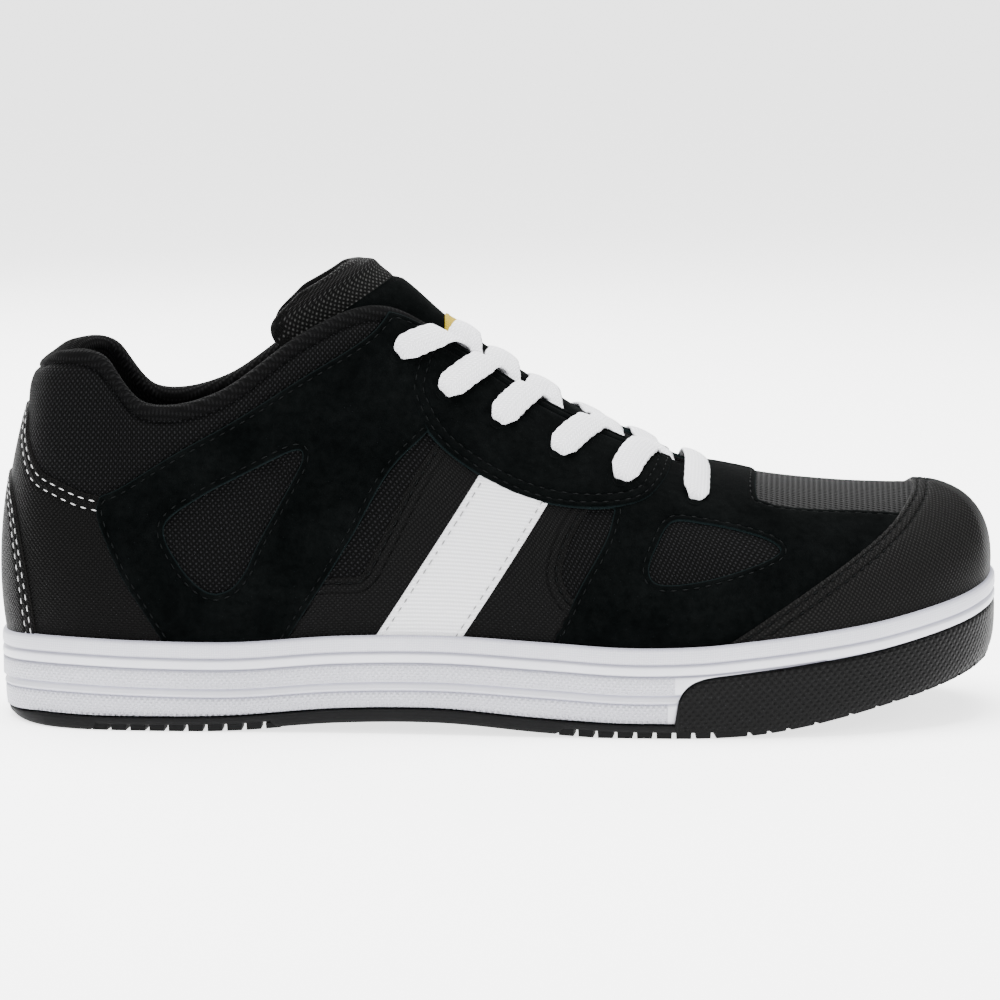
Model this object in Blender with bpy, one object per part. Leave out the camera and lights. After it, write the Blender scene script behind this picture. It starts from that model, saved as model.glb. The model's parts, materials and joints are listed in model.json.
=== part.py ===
"""A low safety sneaker for the right foot, built as the shoe is put together.

The toe points along +X, the inner side of the foot is +Y, and the floor is z = 0.
The upper is one hollow wall lofted through hoops that run from the feather line of the
sole up to the collar, the throat or the ridge of the vamp. The panels sewn onto it are cut
from shells that lie just outside the same surface, so they follow it everywhere.
"""
import math

import bmesh
import bpy
import numpy as np
from mathutils import Matrix, Vector
from mathutils.bvhtree import BVHTree

NAME = "safety_sneaker"

# Main sizes
SOLE_LENGTH = 0.302          # heel to toe over the sole
SOLE_WIDTH = 0.108           # across the ball of the sole
SOLE_HEIGHT = 0.0265         # floor to the lip of the sole at the heel
UPPER_HEIGHT = 0.0835        # lip of the sole to the collar at the heel

# Upper
UPPER_WALL = 0.0025
COLLAR_PAD = 0.0075          # wall of the padded collar
COLLAR_ROLL = 0.30           # how far the collar's round top stands up, as a share of its wall
FEATHER_INSET = 0.0035       # edge of the sole to the upper's outer face
CUP_DEPTH = 0.004            # how deep the upper sits in the sole
FIT_GAP = 0.0003             # clearance between pieces that touch

# Panels sewn onto the upper
PANEL_THICKNESS = 0.0012
PANEL_SEAM = 0.0005          # between two panels that meet
PANEL_FOOT = 0.0013          # from the sole's lip up to the panels' lower edge
TAPE_THICKNESS = 0.0007
TAPE_WIDTH = 0.0215

# Midsole
CUP_BEAD = 0.0050            # height of the upper bead round the side
LOWER_BEAD = 0.0033
RIBBED_BAND = 0.0054
BAND_STEP = 0.0024           # height of the plain step under the ribbed band
GROOVE_DEPTH = 0.0008
EDGE_TAPER = 0.0016          # how far the foot of the side draws in

# Outsole
OUTSOLE_THICKNESS = 0.0042
EDGE_ROUND = 0.0018
BUMPER_WALL = 0.0032         # rubber that wraps up round the toe
BUMPER_REVEAL_BACK = 0.0094  # white side left above the bumper, at its back end
BUMPER_REVEAL_FRONT = 0.0077
BUMPER_START = 0.672         # share of the sole's length where the bumper begins
BUMPER_RISE = 0.0145         # length over which the bumper's back end climbs
LUG_DEPTH = 0.0022
LUG_PITCH = 0.0058
LUG_GAP = 0.0021

# Inside
INSOLE_THICKNESS = 0.004
TONGUE_EDGE = 0.0028         # thickness of the tongue at its sides
TONGUE_GAP = 0.0006          # between the tongue and the wall that lies on it
TONGUE_PROBE = 0.0035        # how far round a point of the tongue the wall is felt for

# Lacing
LACE_WIDTH = 0.0086
LACE_THICKNESS = 0.0015
LACE_STEP = 0.0006           # how far out a crossing's arm takes to end
LABEL_WIDTH = 0.021
LABEL_LENGTH = 0.009
LABEL_THICKNESS = 0.0006
LAID_GAP = 0.0008            # under a lace or label, which lies on curved pieces
LAID_SECTIONS = 7
LAID_STEPS = 4               # how often the ground is felt between two sections
THROAT_LEVEL = 0.83          # height of the throat at half the sole's length
INSTEP = Vector((0.436, 0, 0.900))      # square to the slope of the throat

# Each row is one station from heel to toe. "along" is a share of the sole's length,
# "outer" and "inner" are shares of half the sole's width.
OUTLINE_COLUMNS = ("along", "outer", "inner")
OUTLINE = (
    (0.000, 0.00, 0.00),
    (0.006, 0.27, 0.24),
    (0.030, 0.51, 0.46),
    (0.080, 0.68, 0.62),
    (0.150, 0.75, 0.69),
    (0.240, 0.775, 0.69),
    (0.340, 0.80, 0.65),
    (0.440, 0.86, 0.64),
    (0.540, 0.93, 0.70),
    (0.620, 0.98, 0.81),
    (0.690, 1.00, 0.92),
    (0.750, 0.985, 0.985),
    (0.810, 0.93, 1.00),
    (0.870, 0.82, 0.985),
    (0.922, 0.665, 0.91),
    (0.961, 0.47, 0.79),
    (0.986, 0.25, 0.62),
    (0.998, 0.00, 0.41),
    (1.000, -0.20, 0.20),
)

# The same stations. "lip" and "bottom" are heights as shares of the sole's height.
LEVEL_COLUMNS = ("lip", "bottom")
LEVELS = (
    (0.990, 0.060),
    (1.000, 0.040),
    (1.030, 0.012),
    (1.038, 0.000),
    (1.017, 0.000),
    (1.010, 0.022),
    (1.088, 0.110),
    (1.112, 0.130),
    (1.058, 0.045),
    (1.009, 0.000),
    (1.025, 0.000),
    (1.088, 0.034),
    (1.162, 0.140),
    (1.250, 0.290),
    (1.360, 0.430),
    (1.453, 0.550),
    (1.536, 0.655),
    (1.590, 0.730),
    (1.611, 0.755),
)

# The same stations again, one hoop of the upper for each. "top" is where the hoop ends
# along the sole and "height" how high, as a share of the upper's height above the heel's lip;
# "ridge" and "gap" place that end across the foot, as shares of half the sole's width.
# "belly" and "rise" set how the wall leaves the sole, "crown" and "drop" how it arrives.
HOOP_COLUMNS = ("top", "ridge", "gap", "height", "belly", "rise", "crown", "drop")
HOOPS = (
    (0.040, 0.00, 0.00, 0.952, 0.050, 0.33, 0.080, 0.33),
    (0.046, 0.00, 0.22, 0.966, 0.050, 0.33, 0.075, 0.33),
    (0.066, 0.00, 0.39, 0.998, 0.050, 0.33, 0.065, 0.33),
    (0.104, 0.00, 0.49, 0.985, 0.045, 0.33, 0.050, 0.33),
    (0.150, 0.00, 0.53, 0.815, 0.040, 0.35, 0.040, 0.33),
    (0.225, 0.00, 0.54, 0.855, 0.035, 0.35, 0.040, 0.33),
    (0.312, 0.00, 0.48, 1.072, 0.030, 0.38, 0.070, 0.30),
    (0.385, 0.00, 0.38, 1.160, 0.030, 0.40, 0.100, 0.25),
    (0.461, 0.00, 0.27, 1.020, 0.030, 0.42, 0.120, 0.20),
    (0.545, 0.00, 0.25, 0.824, 0.030, 0.45, 0.140, 0.16),
    (0.620, 0.01, 0.24, 0.692, 0.030, 0.48, 0.170, 0.13),
    (0.680, 0.03, 0.17, 0.592, 0.030, 0.50, 0.230, 0.07),
    (0.708, 0.05, 0.00, 0.580, 0.030, 0.52, 0.290, 0.00),
    (0.765, 0.07, 0.00, 0.538, 0.030, 0.55, 0.290, 0.00),
    (0.820, 0.09, 0.00, 0.521, 0.030, 0.58, 0.270, 0.00),
    (0.866, 0.10, 0.00, 0.523, 0.030, 0.60, 0.240, 0.00),
    (0.904, 0.12, 0.00, 0.532, 0.030, 0.62, 0.220, 0.00),
    (0.904, 0.12, 0.00, 0.532, 0.030, 0.62, 0.210, 0.00),
    (0.904, 0.12, 0.00, 0.532, 0.030, 0.62, 0.210, 0.00),
)
LAST_COLLAR_STATION = 8      # the collar's padding has run out by this station
FIRST_CLOSED_STATION = 12    # the first hoop that closes over the foot
POLE_STATION = 16            # from here on the hoops all end at one point over the toes
WHOLE_STEPS = (4, 9, 10, 11, 12)     # stations with no further hoop halfway to the next
HOOP_ROWS = 7

# Seam lines on the side of the shoe, as shares of the sole's length and of the upper's height
# above the heel's lip, each from its top or back end.
QUARTER_TOP = ((0.398, 1.20), (0.371, 1.075), (0.304, 0.925), (0.240, 0.780), (0.181, 0.662),
               (0.130, 0.550), (0.108, 0.515))
QUARTER_BACK = ((0.104, 0.480), (0.107, 0.415), (0.127, 0.245), (0.150, 0.110), (0.178, -0.05))
QUARTER_FRONT = ((0.4295, 0.745), (0.392, 0.610), (0.357, 0.390), (0.329, 0.225), (0.310, 0.120),
                 (0.280, -0.05))
QUARTER_WINDOW = ((0.171, 0.410), (0.205, 0.510), (0.250, 0.595), (0.298, 0.678), (0.307, 0.655),
                  (0.298, 0.580), (0.265, 0.365), (0.249, 0.245), (0.232, 0.185), (0.211, 0.185),
                  (0.186, 0.275))
STRIP_FRONT = ((0.436, 0.700), (0.414, 0.580), (0.380, 0.345), (0.365, 0.250), (0.351, 0.236),
               (0.334, 0.236))
EYESTAY_LOWER = ((0.450, 1.180), (0.424, 1.060), (0.411, 0.930), (0.413, 0.850), (0.436, 0.712),
                 (0.476, 0.600), (0.525, 0.515), (0.570, 0.480), (0.612, 0.478), (0.641, 0.498),
                 (0.660, 0.550), (0.670, 0.600))
VAMP_BACK = ((0.612, 0.470), (0.603, 0.370), (0.580, 0.225), (0.564, 0.110), (0.541, -0.05))
POCKET_BACK = ((0.585, 0.470), (0.568, 0.365), (0.560, 0.270), (0.563, 0.215), (0.571, 0.170))
VAMP_WINDOW = ((0.668, 0.428), (0.652, 0.345), (0.645, 0.275), (0.650, 0.232), (0.668, 0.222),
               (0.705, 0.240), (0.750, 0.285), (0.773, 0.325), (0.764, 0.362), (0.735, 0.395),
               (0.700, 0.420))
TOE_CAP_BACK = ((0.918, 0.60), (0.916, 0.515), (0.903, 0.450), (0.870, 0.355), (0.782, 0.157),
                (0.700, -0.03))
COUNTER_TOP = ((-0.010, 0.830), (0.028, 0.815), (0.034, 0.700), (0.046, 0.605), (0.068, 0.562),
               (0.090, 0.530), (0.108, 0.515))
STAY_FRONT = ((-0.010, 0.585), (0.010, 0.580), (0.020, 0.490), (0.029, 0.340), (0.036, 0.200),
              (0.046, -0.05))
TAPE_CENTRE = ((0.530, 0.640), (0.412, -0.02))

# The mesh window over the toes, seen from above: shares of the sole's length, and of half its
# width measured from the ridge of the vamp.
MESH_WINDOW = ((0.930, 0.42), (0.860, 0.48), (0.790, 0.56), (0.762, 0.55), (0.753, 0.47),
               (0.758, 0.00))

# Each row is one section of the tongue, from the vamp to the top: where its crown lies, as
# shares of the sole's length and the upper's height, its half width as a share of half the
# sole's width, how far its sides fall and its thickness, both as shares of the upper's height,
# and how far back the section leans, in degrees.
TONGUE_COLUMNS = ("along", "height", "half", "fall", "thick", "lean")
TONGUE = (
    (0.702, 0.545, 0.38, 0.08, 0.035, 25),
    (0.678, 0.580, 0.42, 0.11, 0.038, 27),
    (0.645, 0.645, 0.46, 0.16, 0.045, 30),
    (0.590, 0.750, 0.48, 0.21, 0.050, 34),
    (0.540, 0.868, 0.48, 0.26, 0.055, 38),
    (0.492, 0.990, 0.47, 0.32, 0.060, 42),
    (0.447, 1.112, 0.38, 0.38, 0.070, 48),
    (0.408, 1.238, 0.35, 0.46, 0.085, 55),
    (0.378, 1.310, 0.33, 0.42, 0.085, 60),
    (0.362, 1.332, 0.31, 0.24, 0.040, 62),
)
# How a section of the tongue falls from its crown to its side, as shares of half and fall.
TONGUE_ARCH = ((0.00, 0.00), (0.32, 0.05), (0.62, 0.22), (0.86, 0.54), (1.00, 1.00))
TONGUE_SECTIONS = 12

# Lace holes from the collar down: along the sole and out from the middle, as shares of the
# sole's length and of half its width, and how far over the arms of the crossing reach that
# starts there, as a share of the way to the next hole on the other side.
LACE_HOLES = ((0.399, 0.50, 0.70), (0.450, 0.51, 0.70), (0.504, 0.51, 0.70),
              (0.563, 0.53, 0.68), (0.622, 0.56, 0.56), (0.694, 0.56, 0.00))
LABEL_PLACE = 0.390          # share of the sole's length

STATIONS = len(OUTLINE)
TABLES = {"OUTLINE": (OUTLINE, OUTLINE_COLUMNS), "LEVELS": (LEVELS, LEVEL_COLUMNS),
              "HOOPS": (HOOPS, HOOP_COLUMNS), "TONGUE": (TONGUE, TONGUE_COLUMNS)}


def column(table_name, column_name, at):
    """Read one column of a table at a share of the way along it, on a smooth curve."""
    table, names = TABLES[table_name]
    values = np.array([row[names.index(column_name)] for row in table], float)
    return smooth_read(values, at)


def smooth_read(values, at):
    values = np.asarray(values, float)
    place = np.clip(np.asarray(at, float), 0, 1) * (len(values) - 1)
    low = np.clip(place.astype(int), 0, len(values) - 2)
    s = place - low
    s = s[..., None] if values.ndim > 1 else s
    padded = np.concatenate([[2 * values[0] - values[1]], values, [2 * values[-1] - values[-2]]])
    a, b, c, d = (padded[low + k] for k in range(4))
    return 0.5 * (2 * b + (c - a) * s + (2 * a - 5 * b + 4 * c - d) * s ** 2
                  + (3 * b - a - 3 * c + d) * s ** 3)


def smooth_line(points, steps=2):
    """A smooth line through a few points, as (x, z) in metres on the side of the shoe."""
    at = np.linspace(0, 1, (len(points) - 1) * steps + 1)
    return [side_point(*point) for point in smooth_read(np.array(points), at)]


def smooth_loop(points, steps=2):
    count = len(points)
    around = np.array(points[-2:] + points + points[:2], float)
    at = (np.arange(count * steps) / steps + 2) / (len(around) - 1)
    return [side_point(*point) for point in smooth_read(around, at)]


def side_point(along, height):
    return ((along - 0.5) * SOLE_LENGTH, SOLE_HEIGHT + height * UPPER_HEIGHT)


# The sole's outline and levels

def outline(u, side):
    """The sole's edge at station share u; side is -1 outside the foot and +1 inside it."""
    along = column("OUTLINE", "along", u)
    half = column("OUTLINE", "outer" if side < 0 else "inner", u)
    return np.stack([(along - 0.5) * SOLE_LENGTH, side * half * SOLE_WIDTH / 2], -1)


def outward(u, side, step=1e-4):
    """The direction out of the sole's edge, level with the floor."""
    u = np.asarray(u, float)
    run = outline(np.minimum(u + step, 1), side) - outline(np.maximum(u - step, 0), side)
    run /= np.linalg.norm(run, axis=-1, keepdims=True)
    return np.stack([-side * run[..., 1], side * run[..., 0]], -1)


def station_at(x):
    """The share of the way down the tables that belongs to a place along the sole."""
    fine = np.linspace(0, 1, 2001)
    return np.interp(np.asarray(x) / SOLE_LENGTH + 0.5, column("OUTLINE", "along", fine), fine)


def lip_height(x):
    return column("LEVELS", "lip", station_at(x)) * SOLE_HEIGHT


def bottom_height(x):
    return np.maximum(column("LEVELS", "bottom", station_at(x)), 0) * SOLE_HEIGHT


def plate_height(x):
    return bottom_height(x) + OUTSOLE_THICKNESS


def floor_height(x):
    """The floor of the sole's cup, on which the upper and the insole stand."""
    return lip_height(x) - CUP_DEPTH - FIT_GAP


def split_height(x):
    """The line where the black rubber ends and the white side begins."""
    start = (BUMPER_START - 0.5) * SOLE_LENGTH
    climb = np.clip((x - start) / BUMPER_RISE, 0, 1)
    climb = np.sqrt(1 - (1 - climb) ** 2)
    forward = np.clip((x - start) / (SOLE_LENGTH / 2 - start), 0, 1)
    reveal = BUMPER_REVEAL_BACK + (BUMPER_REVEAL_FRONT - BUMPER_REVEAL_BACK) * forward
    plate = plate_height(x)
    return plate + np.maximum(lip_height(x) - reveal - plate, 0) * climb


def shoe_stations():
    """Where the hoops stand: at the tables' rows and halfway, and where the bumper climbs."""
    halves = [k + 0.5 for k in range(STATIONS - 1) if k not in WHOLE_STEPS]
    even = np.sort(list(range(STATIONS)) + halves) / (STATIONS - 1)
    start = (BUMPER_START - 0.5) * SOLE_LENGTH
    climbs = station_at([start + share * BUMPER_RISE for share in (-0.03, 0.10, 0.40, 1.0)])
    near = 0.2 / (STATIONS - 1)
    kept = [u for u in even if np.min(np.abs(climbs - u)) > near]
    return np.sort(np.concatenate([kept, climbs]))


# Building blocks for meshes

def material(name, colour, roughness):
    result = bpy.data.materials.new(name)
    result.use_nodes = True
    shader = result.node_tree.nodes["Principled BSDF"]
    shader.inputs["Base Color"].default_value = (*colour, 1)
    shader.inputs["Roughness"].default_value = roughness
    result.diffuse_color = (*colour, 1)
    return result


def new_object(name, mesh_data, collection, finish=None, smooth=True):
    mesh = bpy.data.meshes.new(name)
    mesh_data.to_mesh(mesh)
    mesh_data.free()
    if smooth:
        mesh.shade_smooth()
        mesh.set_sharp_from_angle(angle=math.radians(40))
    piece = bpy.data.objects.new(name, mesh)
    collection.objects.link(piece)
    if finish:
        mesh.materials.append(finish)
    return piece


def closed(mesh_data):
    """Weld what coincides and turn the faces of a closed body outwards."""
    bmesh.ops.remove_doubles(mesh_data, verts=mesh_data.verts, dist=2e-5)
    loose = [vert for vert in mesh_data.verts if not vert.link_faces]
    bmesh.ops.delete(mesh_data, geom=loose, context="VERTS")
    bmesh.ops.recalc_face_normals(mesh_data, faces=mesh_data.faces)
    return mesh_data


def ring_points(stations, inset, height):
    """A loop round the sole: outer side forwards, inner side back.

    The inset from the sole's edge is a length, one for each station, or a function of the
    stations and the side; the height is a function of the place along the sole.
    """
    loops = []
    for side in (-1, 1):
        depth = inset(stations, side) if callable(inset) else inset
        flat = outline(stations, side) - outward(stations, side) * np.reshape(depth, (-1, 1))
        loops.append(np.column_stack([flat, height(flat[:, 0])]))
    return np.concatenate([loops[0], loops[1][-2:0:-1]])


def sole_body(stations, rows):
    """A closed body from loops round the sole, capped across at its first and last loop."""
    data = bmesh.new()
    loops = [[data.verts.new(point) for point in ring_points(stations, inset, height)]
             for inset, height in rows]
    around = len(loops[0])
    for low, high in zip(loops, loops[1:]):
        for k in range(around):
            after = (k + 1) % around
            data.faces.new((low[k], low[after], high[after], high[k]))
    last = len(stations) - 1
    for loop in (loops[0], loops[-1]):
        across = lambda k: loop[(around - k) % around]
        for k in range(last):
            corners = [loop[k], loop[k + 1], across(k + 1), across(k)]
            data.faces.new(list(dict.fromkeys(corners)))
    return closed(data)


def cut(piece, cutter, operation="DIFFERENCE"):
    """Cut a piece with a cutter by an exact Boolean, kept as the piece's own mesh."""
    step = piece.modifiers.new("cut", "BOOLEAN")
    step.operation = operation
    step.solver = "EXACT"
    step.object = cutter
    graph = bpy.context.evaluated_depsgraph_get()
    mesh = bpy.data.meshes.new_from_object(piece.evaluated_get(graph))
    piece.modifiers.remove(step)
    piece.data = mesh
    data = bmesh.new()
    data.from_mesh(mesh)
    bmesh.ops.dissolve_degenerate(data, edges=data.edges, dist=2e-5)
    bmesh.ops.remove_doubles(data, verts=data.verts, dist=2e-5)
    data.to_mesh(mesh)
    data.free()
    mesh.shade_smooth()
    mesh.set_sharp_from_angle(angle=math.radians(40))


def cutter_object(name, data):
    piece = new_object(name, data, bpy.data.collections["cutters"], smooth=False)
    piece.hide_render = True
    piece.display_type = "WIRE"
    return piece


def inset_loop(points, distance):
    """Move each side of a closed outline inwards, so two neighbours leave a seam."""
    loop = [np.array(point, float) for point in points]
    loop = [point for k, point in enumerate(loop)
            if np.linalg.norm(point - loop[k - 1]) > 1e-5]
    area = sum(a[0] * b[1] - b[0] * a[1] for a, b in zip(loop, loop[1:] + loop[:1]))
    if area < 0:
        loop.reverse()
    moved = []
    for k, point in enumerate(loop):
        before = point - loop[k - 1]
        after = loop[(k + 1) % len(loop)] - point
        normals = [np.array([-edge[1], edge[0]]) / np.linalg.norm(edge)
                   for edge in (before, after)]
        middle = normals[0] + normals[1]
        length = np.linalg.norm(middle)
        middle = middle / length if length > 1e-6 else normals[0]
        reach = distance / max(float(middle @ normals[0]), 0.5)
        moved.append(point + middle * reach)
    return moved


def side_cutter(name, points, low_y, high_y, inset=0.0):
    """A prism across the shoe with the given outline on its side."""
    data = bmesh.new()
    loop = inset_loop(points, inset)
    near = [data.verts.new((x, low_y, z)) for x, z in loop]
    far = [data.verts.new((x, high_y, z)) for x, z in loop]
    cap_and_wall(data, near, far)
    return cutter_object(name, data)


def plan_cutter(name, points, low_z, high_z):
    """An upright prism with the given outline seen from above."""
    data = bmesh.new()
    near = [data.verts.new((x, y, low_z)) for x, y in points]
    far = [data.verts.new((x, y, high_z)) for x, y in points]
    cap_and_wall(data, near, far)
    return cutter_object(name, data)


def cap_and_wall(data, near, far):
    count = len(near)
    data.faces.new(near)
    data.faces.new(far[::-1])
    for k in range(count):
        after = (k + 1) % count
        data.faces.new((near[k], far[k], far[after], near[after]))
    bmesh.ops.recalc_face_normals(data, faces=data.faces)


# The upper's surface

def hoop(u, t, side):
    """A point of the upper's outer face: t runs from 0 at the sole to 1 at the hoop's end."""
    u, t = np.broadcast_arrays(np.asarray(u, float), np.asarray(t, float))
    away = outward(u, side)
    foot = outline(u, side) - away * FEATHER_INSET
    low = lip_height(foot[..., 0]) - CUP_DEPTH
    high = SOLE_HEIGHT + column("HOOPS", "height", u) * UPPER_HEIGHT
    closes = FIRST_CLOSED_STATION / (STATIONS - 1)
    gap = np.where(u < closes - 1e-9, np.maximum(column("HOOPS", "gap", u), 0), 0)
    top_x = (np.minimum(column("HOOPS", "top", u), HOOPS[-1][0]) - 0.5) * SOLE_LENGTH
    top_y = (column("HOOPS", "ridge", u) + side * gap) * SOLE_WIDTH / 2
    belly = column("HOOPS", "belly", u) * SOLE_WIDTH
    crown = column("HOOPS", "crown", u) * SOLE_WIDTH
    rise = column("HOOPS", "rise", u) * (high - low)
    drop = column("HOOPS", "drop", u) * (high - low)
    ends = np.stack([foot[..., 0], foot[..., 1], low], -1)
    tops = np.stack([top_x, top_y, high], -1)
    level = np.stack([away[..., 0], away[..., 1], np.zeros(u.shape)], -1)
    upright = np.array([0.0, 0.0, 1.0])
    leave = ends + level * belly[..., None] + upright * rise[..., None]
    arrive = tops + level * crown[..., None] - upright * drop[..., None]
    t = t[..., None]
    return (ends * (1 - t) ** 3 + 3 * leave * t * (1 - t) ** 2
            + 3 * arrive * t ** 2 * (1 - t) + tops * t ** 3)


def hoop_rows(u, side):
    """Shares up a hoop: its foot, the place just above the sole's lip, then even steps."""
    shares = np.linspace(0, 1, 401)
    points = hoop(u, shares, side)
    above = points[:, 2] - lip_height(points[:, 0]) - PANEL_FOOT
    clear = np.interp(0, above[:200], shares[:200])
    return np.concatenate([[0.0], np.linspace(clear, 1, HOOP_ROWS)])


class Skin:
    """The upper's outer face as a grid of points with their outward directions."""

    def __init__(self):
        self.stations = shoe_stations()
        self.count = len(self.stations)
        self.closed_from = self.hoop_number(FIRST_CLOSED_STATION)
        self.pole_from = self.hoop_number(POLE_STATION)
        self.rows = HOOP_ROWS + 1
        self.place = {}
        for side in (-1, 1):
            for i, u in enumerate(self.stations):
                for j, t in enumerate(hoop_rows(u, side)):
                    self.place.setdefault(self.key(side, i, j), hoop(u, t, side))
        self.quads = [(side, i, j) for side in (-1, 1) for i in range(self.count - 1)
                      for j in range(self.rows - 1)]
        self.out = self.directions()

    def hoop_number(self, station):
        return int(np.argmin(np.abs(self.stations - station / (STATIONS - 1))))

    def key(self, side, i, j):
        """Both sides share the heel's and the toe's hoop, and the ridge of the vamp."""
        if j == self.rows - 1 and i > self.pole_from:
            i = self.pole_from
        shared = i in (0, self.count - 1) or (j == self.rows - 1 and i >= self.closed_from)
        return (0 if shared else side, i, j)

    def corners(self, quad):
        side, i, j = quad
        ring = [(i, j), (i + 1, j), (i + 1, j + 1), (i, j + 1)]
        keys = [self.key(side, *at) for at in ring]
        return keys if side < 0 else keys[::-1]

    def triangles(self, quad):
        """Every shell splits a face along the same diagonal, so shells stay parallel."""
        a, b, c, d = self.corners(quad)
        return [keys for keys in ([a, b, c], [a, c, d]) if len(set(keys)) == 3]

    def directions(self):
        total = {key: np.zeros(3) for key in self.place}
        for quad in self.quads:
            keys = self.corners(quad)
            a, b, c, d = (self.place[key] for key in keys)
            normal = np.cross(c - a, d - b)
            normal /= np.linalg.norm(normal)
            for key in set(keys):
                total[key] = total[key] + normal
        return {key: value / np.linalg.norm(value) for key, value in total.items()}

    def point(self, key, offset):
        return self.place[key] + self.out[key] * offset

    def shell(self, quads, low, high, rim=None):
        """A closed wall between two offsets of some of the grid's faces."""
        data = bmesh.new()
        levels = [{}, {}]
        for level, offset in zip(levels, (low, high)):
            for quad in quads:
                for key in self.corners(quad):
                    if key not in level:
                        depth = offset(key) if callable(offset) else offset
                        level[key] = data.verts.new(self.point(key, depth))
        inner, outer = levels
        edges = {}
        for quad in quads:
            for keys in self.triangles(quad):
                data.faces.new([outer[key] for key in keys])
                data.faces.new([inner[key] for key in keys][::-1])
                for a, b in zip(keys, keys[1:] + keys[:1]):
                    edges[(a, b)] = True
        rolled = {}
        for a, b in edges:
            if (b, a) in edges:
                continue
            if rim and rim(a) and rim(b):
                self.roll(data, a, b, inner, outer, rolled)
            else:
                data.faces.new((outer[b], outer[a], inner[a], inner[b]))
        return closed(data)

    def roll(self, data, a, b, inner, outer, rolled):
        """Round the rim between the outer and the inner face."""
        for key in (a, b):
            if key in rolled:
                continue
            side, i, j = key
            below = self.key(0, i + 1, j) if side == 0 and i else self.key(side, i, j - 1)
            up = self.place[key] - self.place[below]
            up /= np.linalg.norm(up)
            start, end = (np.array(level[key].co) for level in (outer, inner))
            lift = up * np.linalg.norm(end - start) * COLLAR_ROLL
            rolled[key] = [data.verts.new(start + (end - start) * share + lift)
                           for share in (0.24, 0.76)]
        chain_a = [outer[a], *rolled[a], inner[a]]
        chain_b = [outer[b], *rolled[b], inner[b]]
        for k in range(3):
            data.faces.new((chain_b[k], chain_a[k], chain_a[k + 1], chain_b[k + 1]))

    def wall(self, key):
        """How far in the inner face lies: thin on the body, thick at the collar."""
        i, j = key[1:]
        up = np.clip((j / (self.rows - 1) - 0.45) / 0.45, 0, 1)
        station = self.stations[i] * (STATIONS - 1)
        along = np.clip((LAST_COLLAR_STATION - station) / 2, 0, 1)
        swell = (up * up * (3 - 2 * up)) * (along * along * (3 - 2 * along))
        return -(UPPER_WALL + (COLLAR_PAD - UPPER_WALL) * swell)

    def rim(self, key):
        return key[2] == self.rows - 1 and key[1] <= self.closed_from


# The pieces

def make_outsole(collection, rubber):
    stations = shoe_stations()
    rows = [
        (EDGE_ROUND, bottom_height),
        (EDGE_ROUND * 0.2, lambda x: bottom_height(x) + EDGE_ROUND * 0.8),
        (0.0, split_height),
        (BUMPER_WALL, split_height),
        (BUMPER_WALL, plate_height),
    ]
    outsole = new_object("outsole", sole_body(stations, rows), collection, rubber)
    cut(outsole, tread_cutter())
    return outsole


def tread_cutter():
    """Grooves across the heel, the forefoot and, wider apart, the toe."""
    data = bmesh.new()
    fine = np.linspace(0, 1, 2001)
    along = (column("OUTLINE", "along", fine) - 0.5) * SOLE_LENGTH
    level = bottom_height(along)
    zones = ((0.055, 0.280, 1.0), (0.560, 0.800, 1.0), (0.825, 0.985, 1.7))
    for start, end, spread in zones:
        pitch = LUG_PITCH * spread
        count = max(int((end - start) * SOLE_LENGTH / pitch), 1)
        for k in range(count):
            x = (start - 0.5) * SOLE_LENGTH + (k + 0.5) * pitch
            rise = (np.interp(x + pitch, along, level) - np.interp(x - pitch, along, level))
            turn = Matrix.Rotation(-math.atan2(rise, 2 * pitch), 4, "Y")
            place = Matrix.Translation((x, 0, np.interp(x, along, level)))
            size = Matrix.Diagonal((LUG_GAP, SOLE_WIDTH * 1.2, LUG_DEPTH * 2, 1))
            bmesh.ops.create_cube(data, size=1, matrix=place @ turn @ size)
    return cutter_object("tread_cutter", data)


def make_midsole(collection, rubber):
    stations = shoe_stations()
    second = CUP_BEAD + LOWER_BEAD
    band = second + RIBBED_BAND
    step = band + BAND_STEP
    side = (
        (0.0, GROOVE_DEPTH),
        (CUP_BEAD * 0.3, 0.0),
        (CUP_BEAD, GROOVE_DEPTH),
        (CUP_BEAD + LOWER_BEAD * 0.3, 0.0),
        (second, GROOVE_DEPTH),
        (band, GROOVE_DEPTH * 0.2),
        (band + BAND_STEP * 0.3, GROOVE_DEPTH * 1.5),
        (step, GROOVE_DEPTH * 0.5),
    )
    edge = outline(stations, 1)[:, 0]
    room = lip_height(edge) - split_height(edge) - FIT_GAP
    bumper = split_height(edge) > plate_height(edge) + FIT_GAP
    foot_inset = np.where(bumper, GROOVE_DEPTH * 0.3, EDGE_TAPER)
    seam = lambda x: split_height(x + FIT_GAP) + FIT_GAP
    rows = [(lambda u, s: wall_inset(u, s, 0) - FIT_GAP, floor_height),
            (lambda u, s: wall_inset(u, s, 1) - FIT_GAP, lip_height)]
    for depth, inset in side:
        rows.append((np.where(depth < room, inset, foot_inset),
                     lambda x, depth=depth: np.maximum(lip_height(x) - depth, seam(x))))
    rows += [
        (foot_inset, seam),
        (BUMPER_WALL + FIT_GAP, seam),
        (BUMPER_WALL + FIT_GAP, lambda x: plate_height(x) + FIT_GAP),
    ]
    return new_object("midsole", sole_body(stations, rows), collection, rubber)


def wall_inset(stations, side, row):
    """How far in from the sole's edge the upper stands, at its foot or at the lip."""
    insets = []
    for u in stations:
        point = hoop(u, hoop_rows(u, side)[row], side)[:2]
        insets.append(float((outline(u, side) - point) @ outward(u, side)))
    return np.array(insets)


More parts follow.
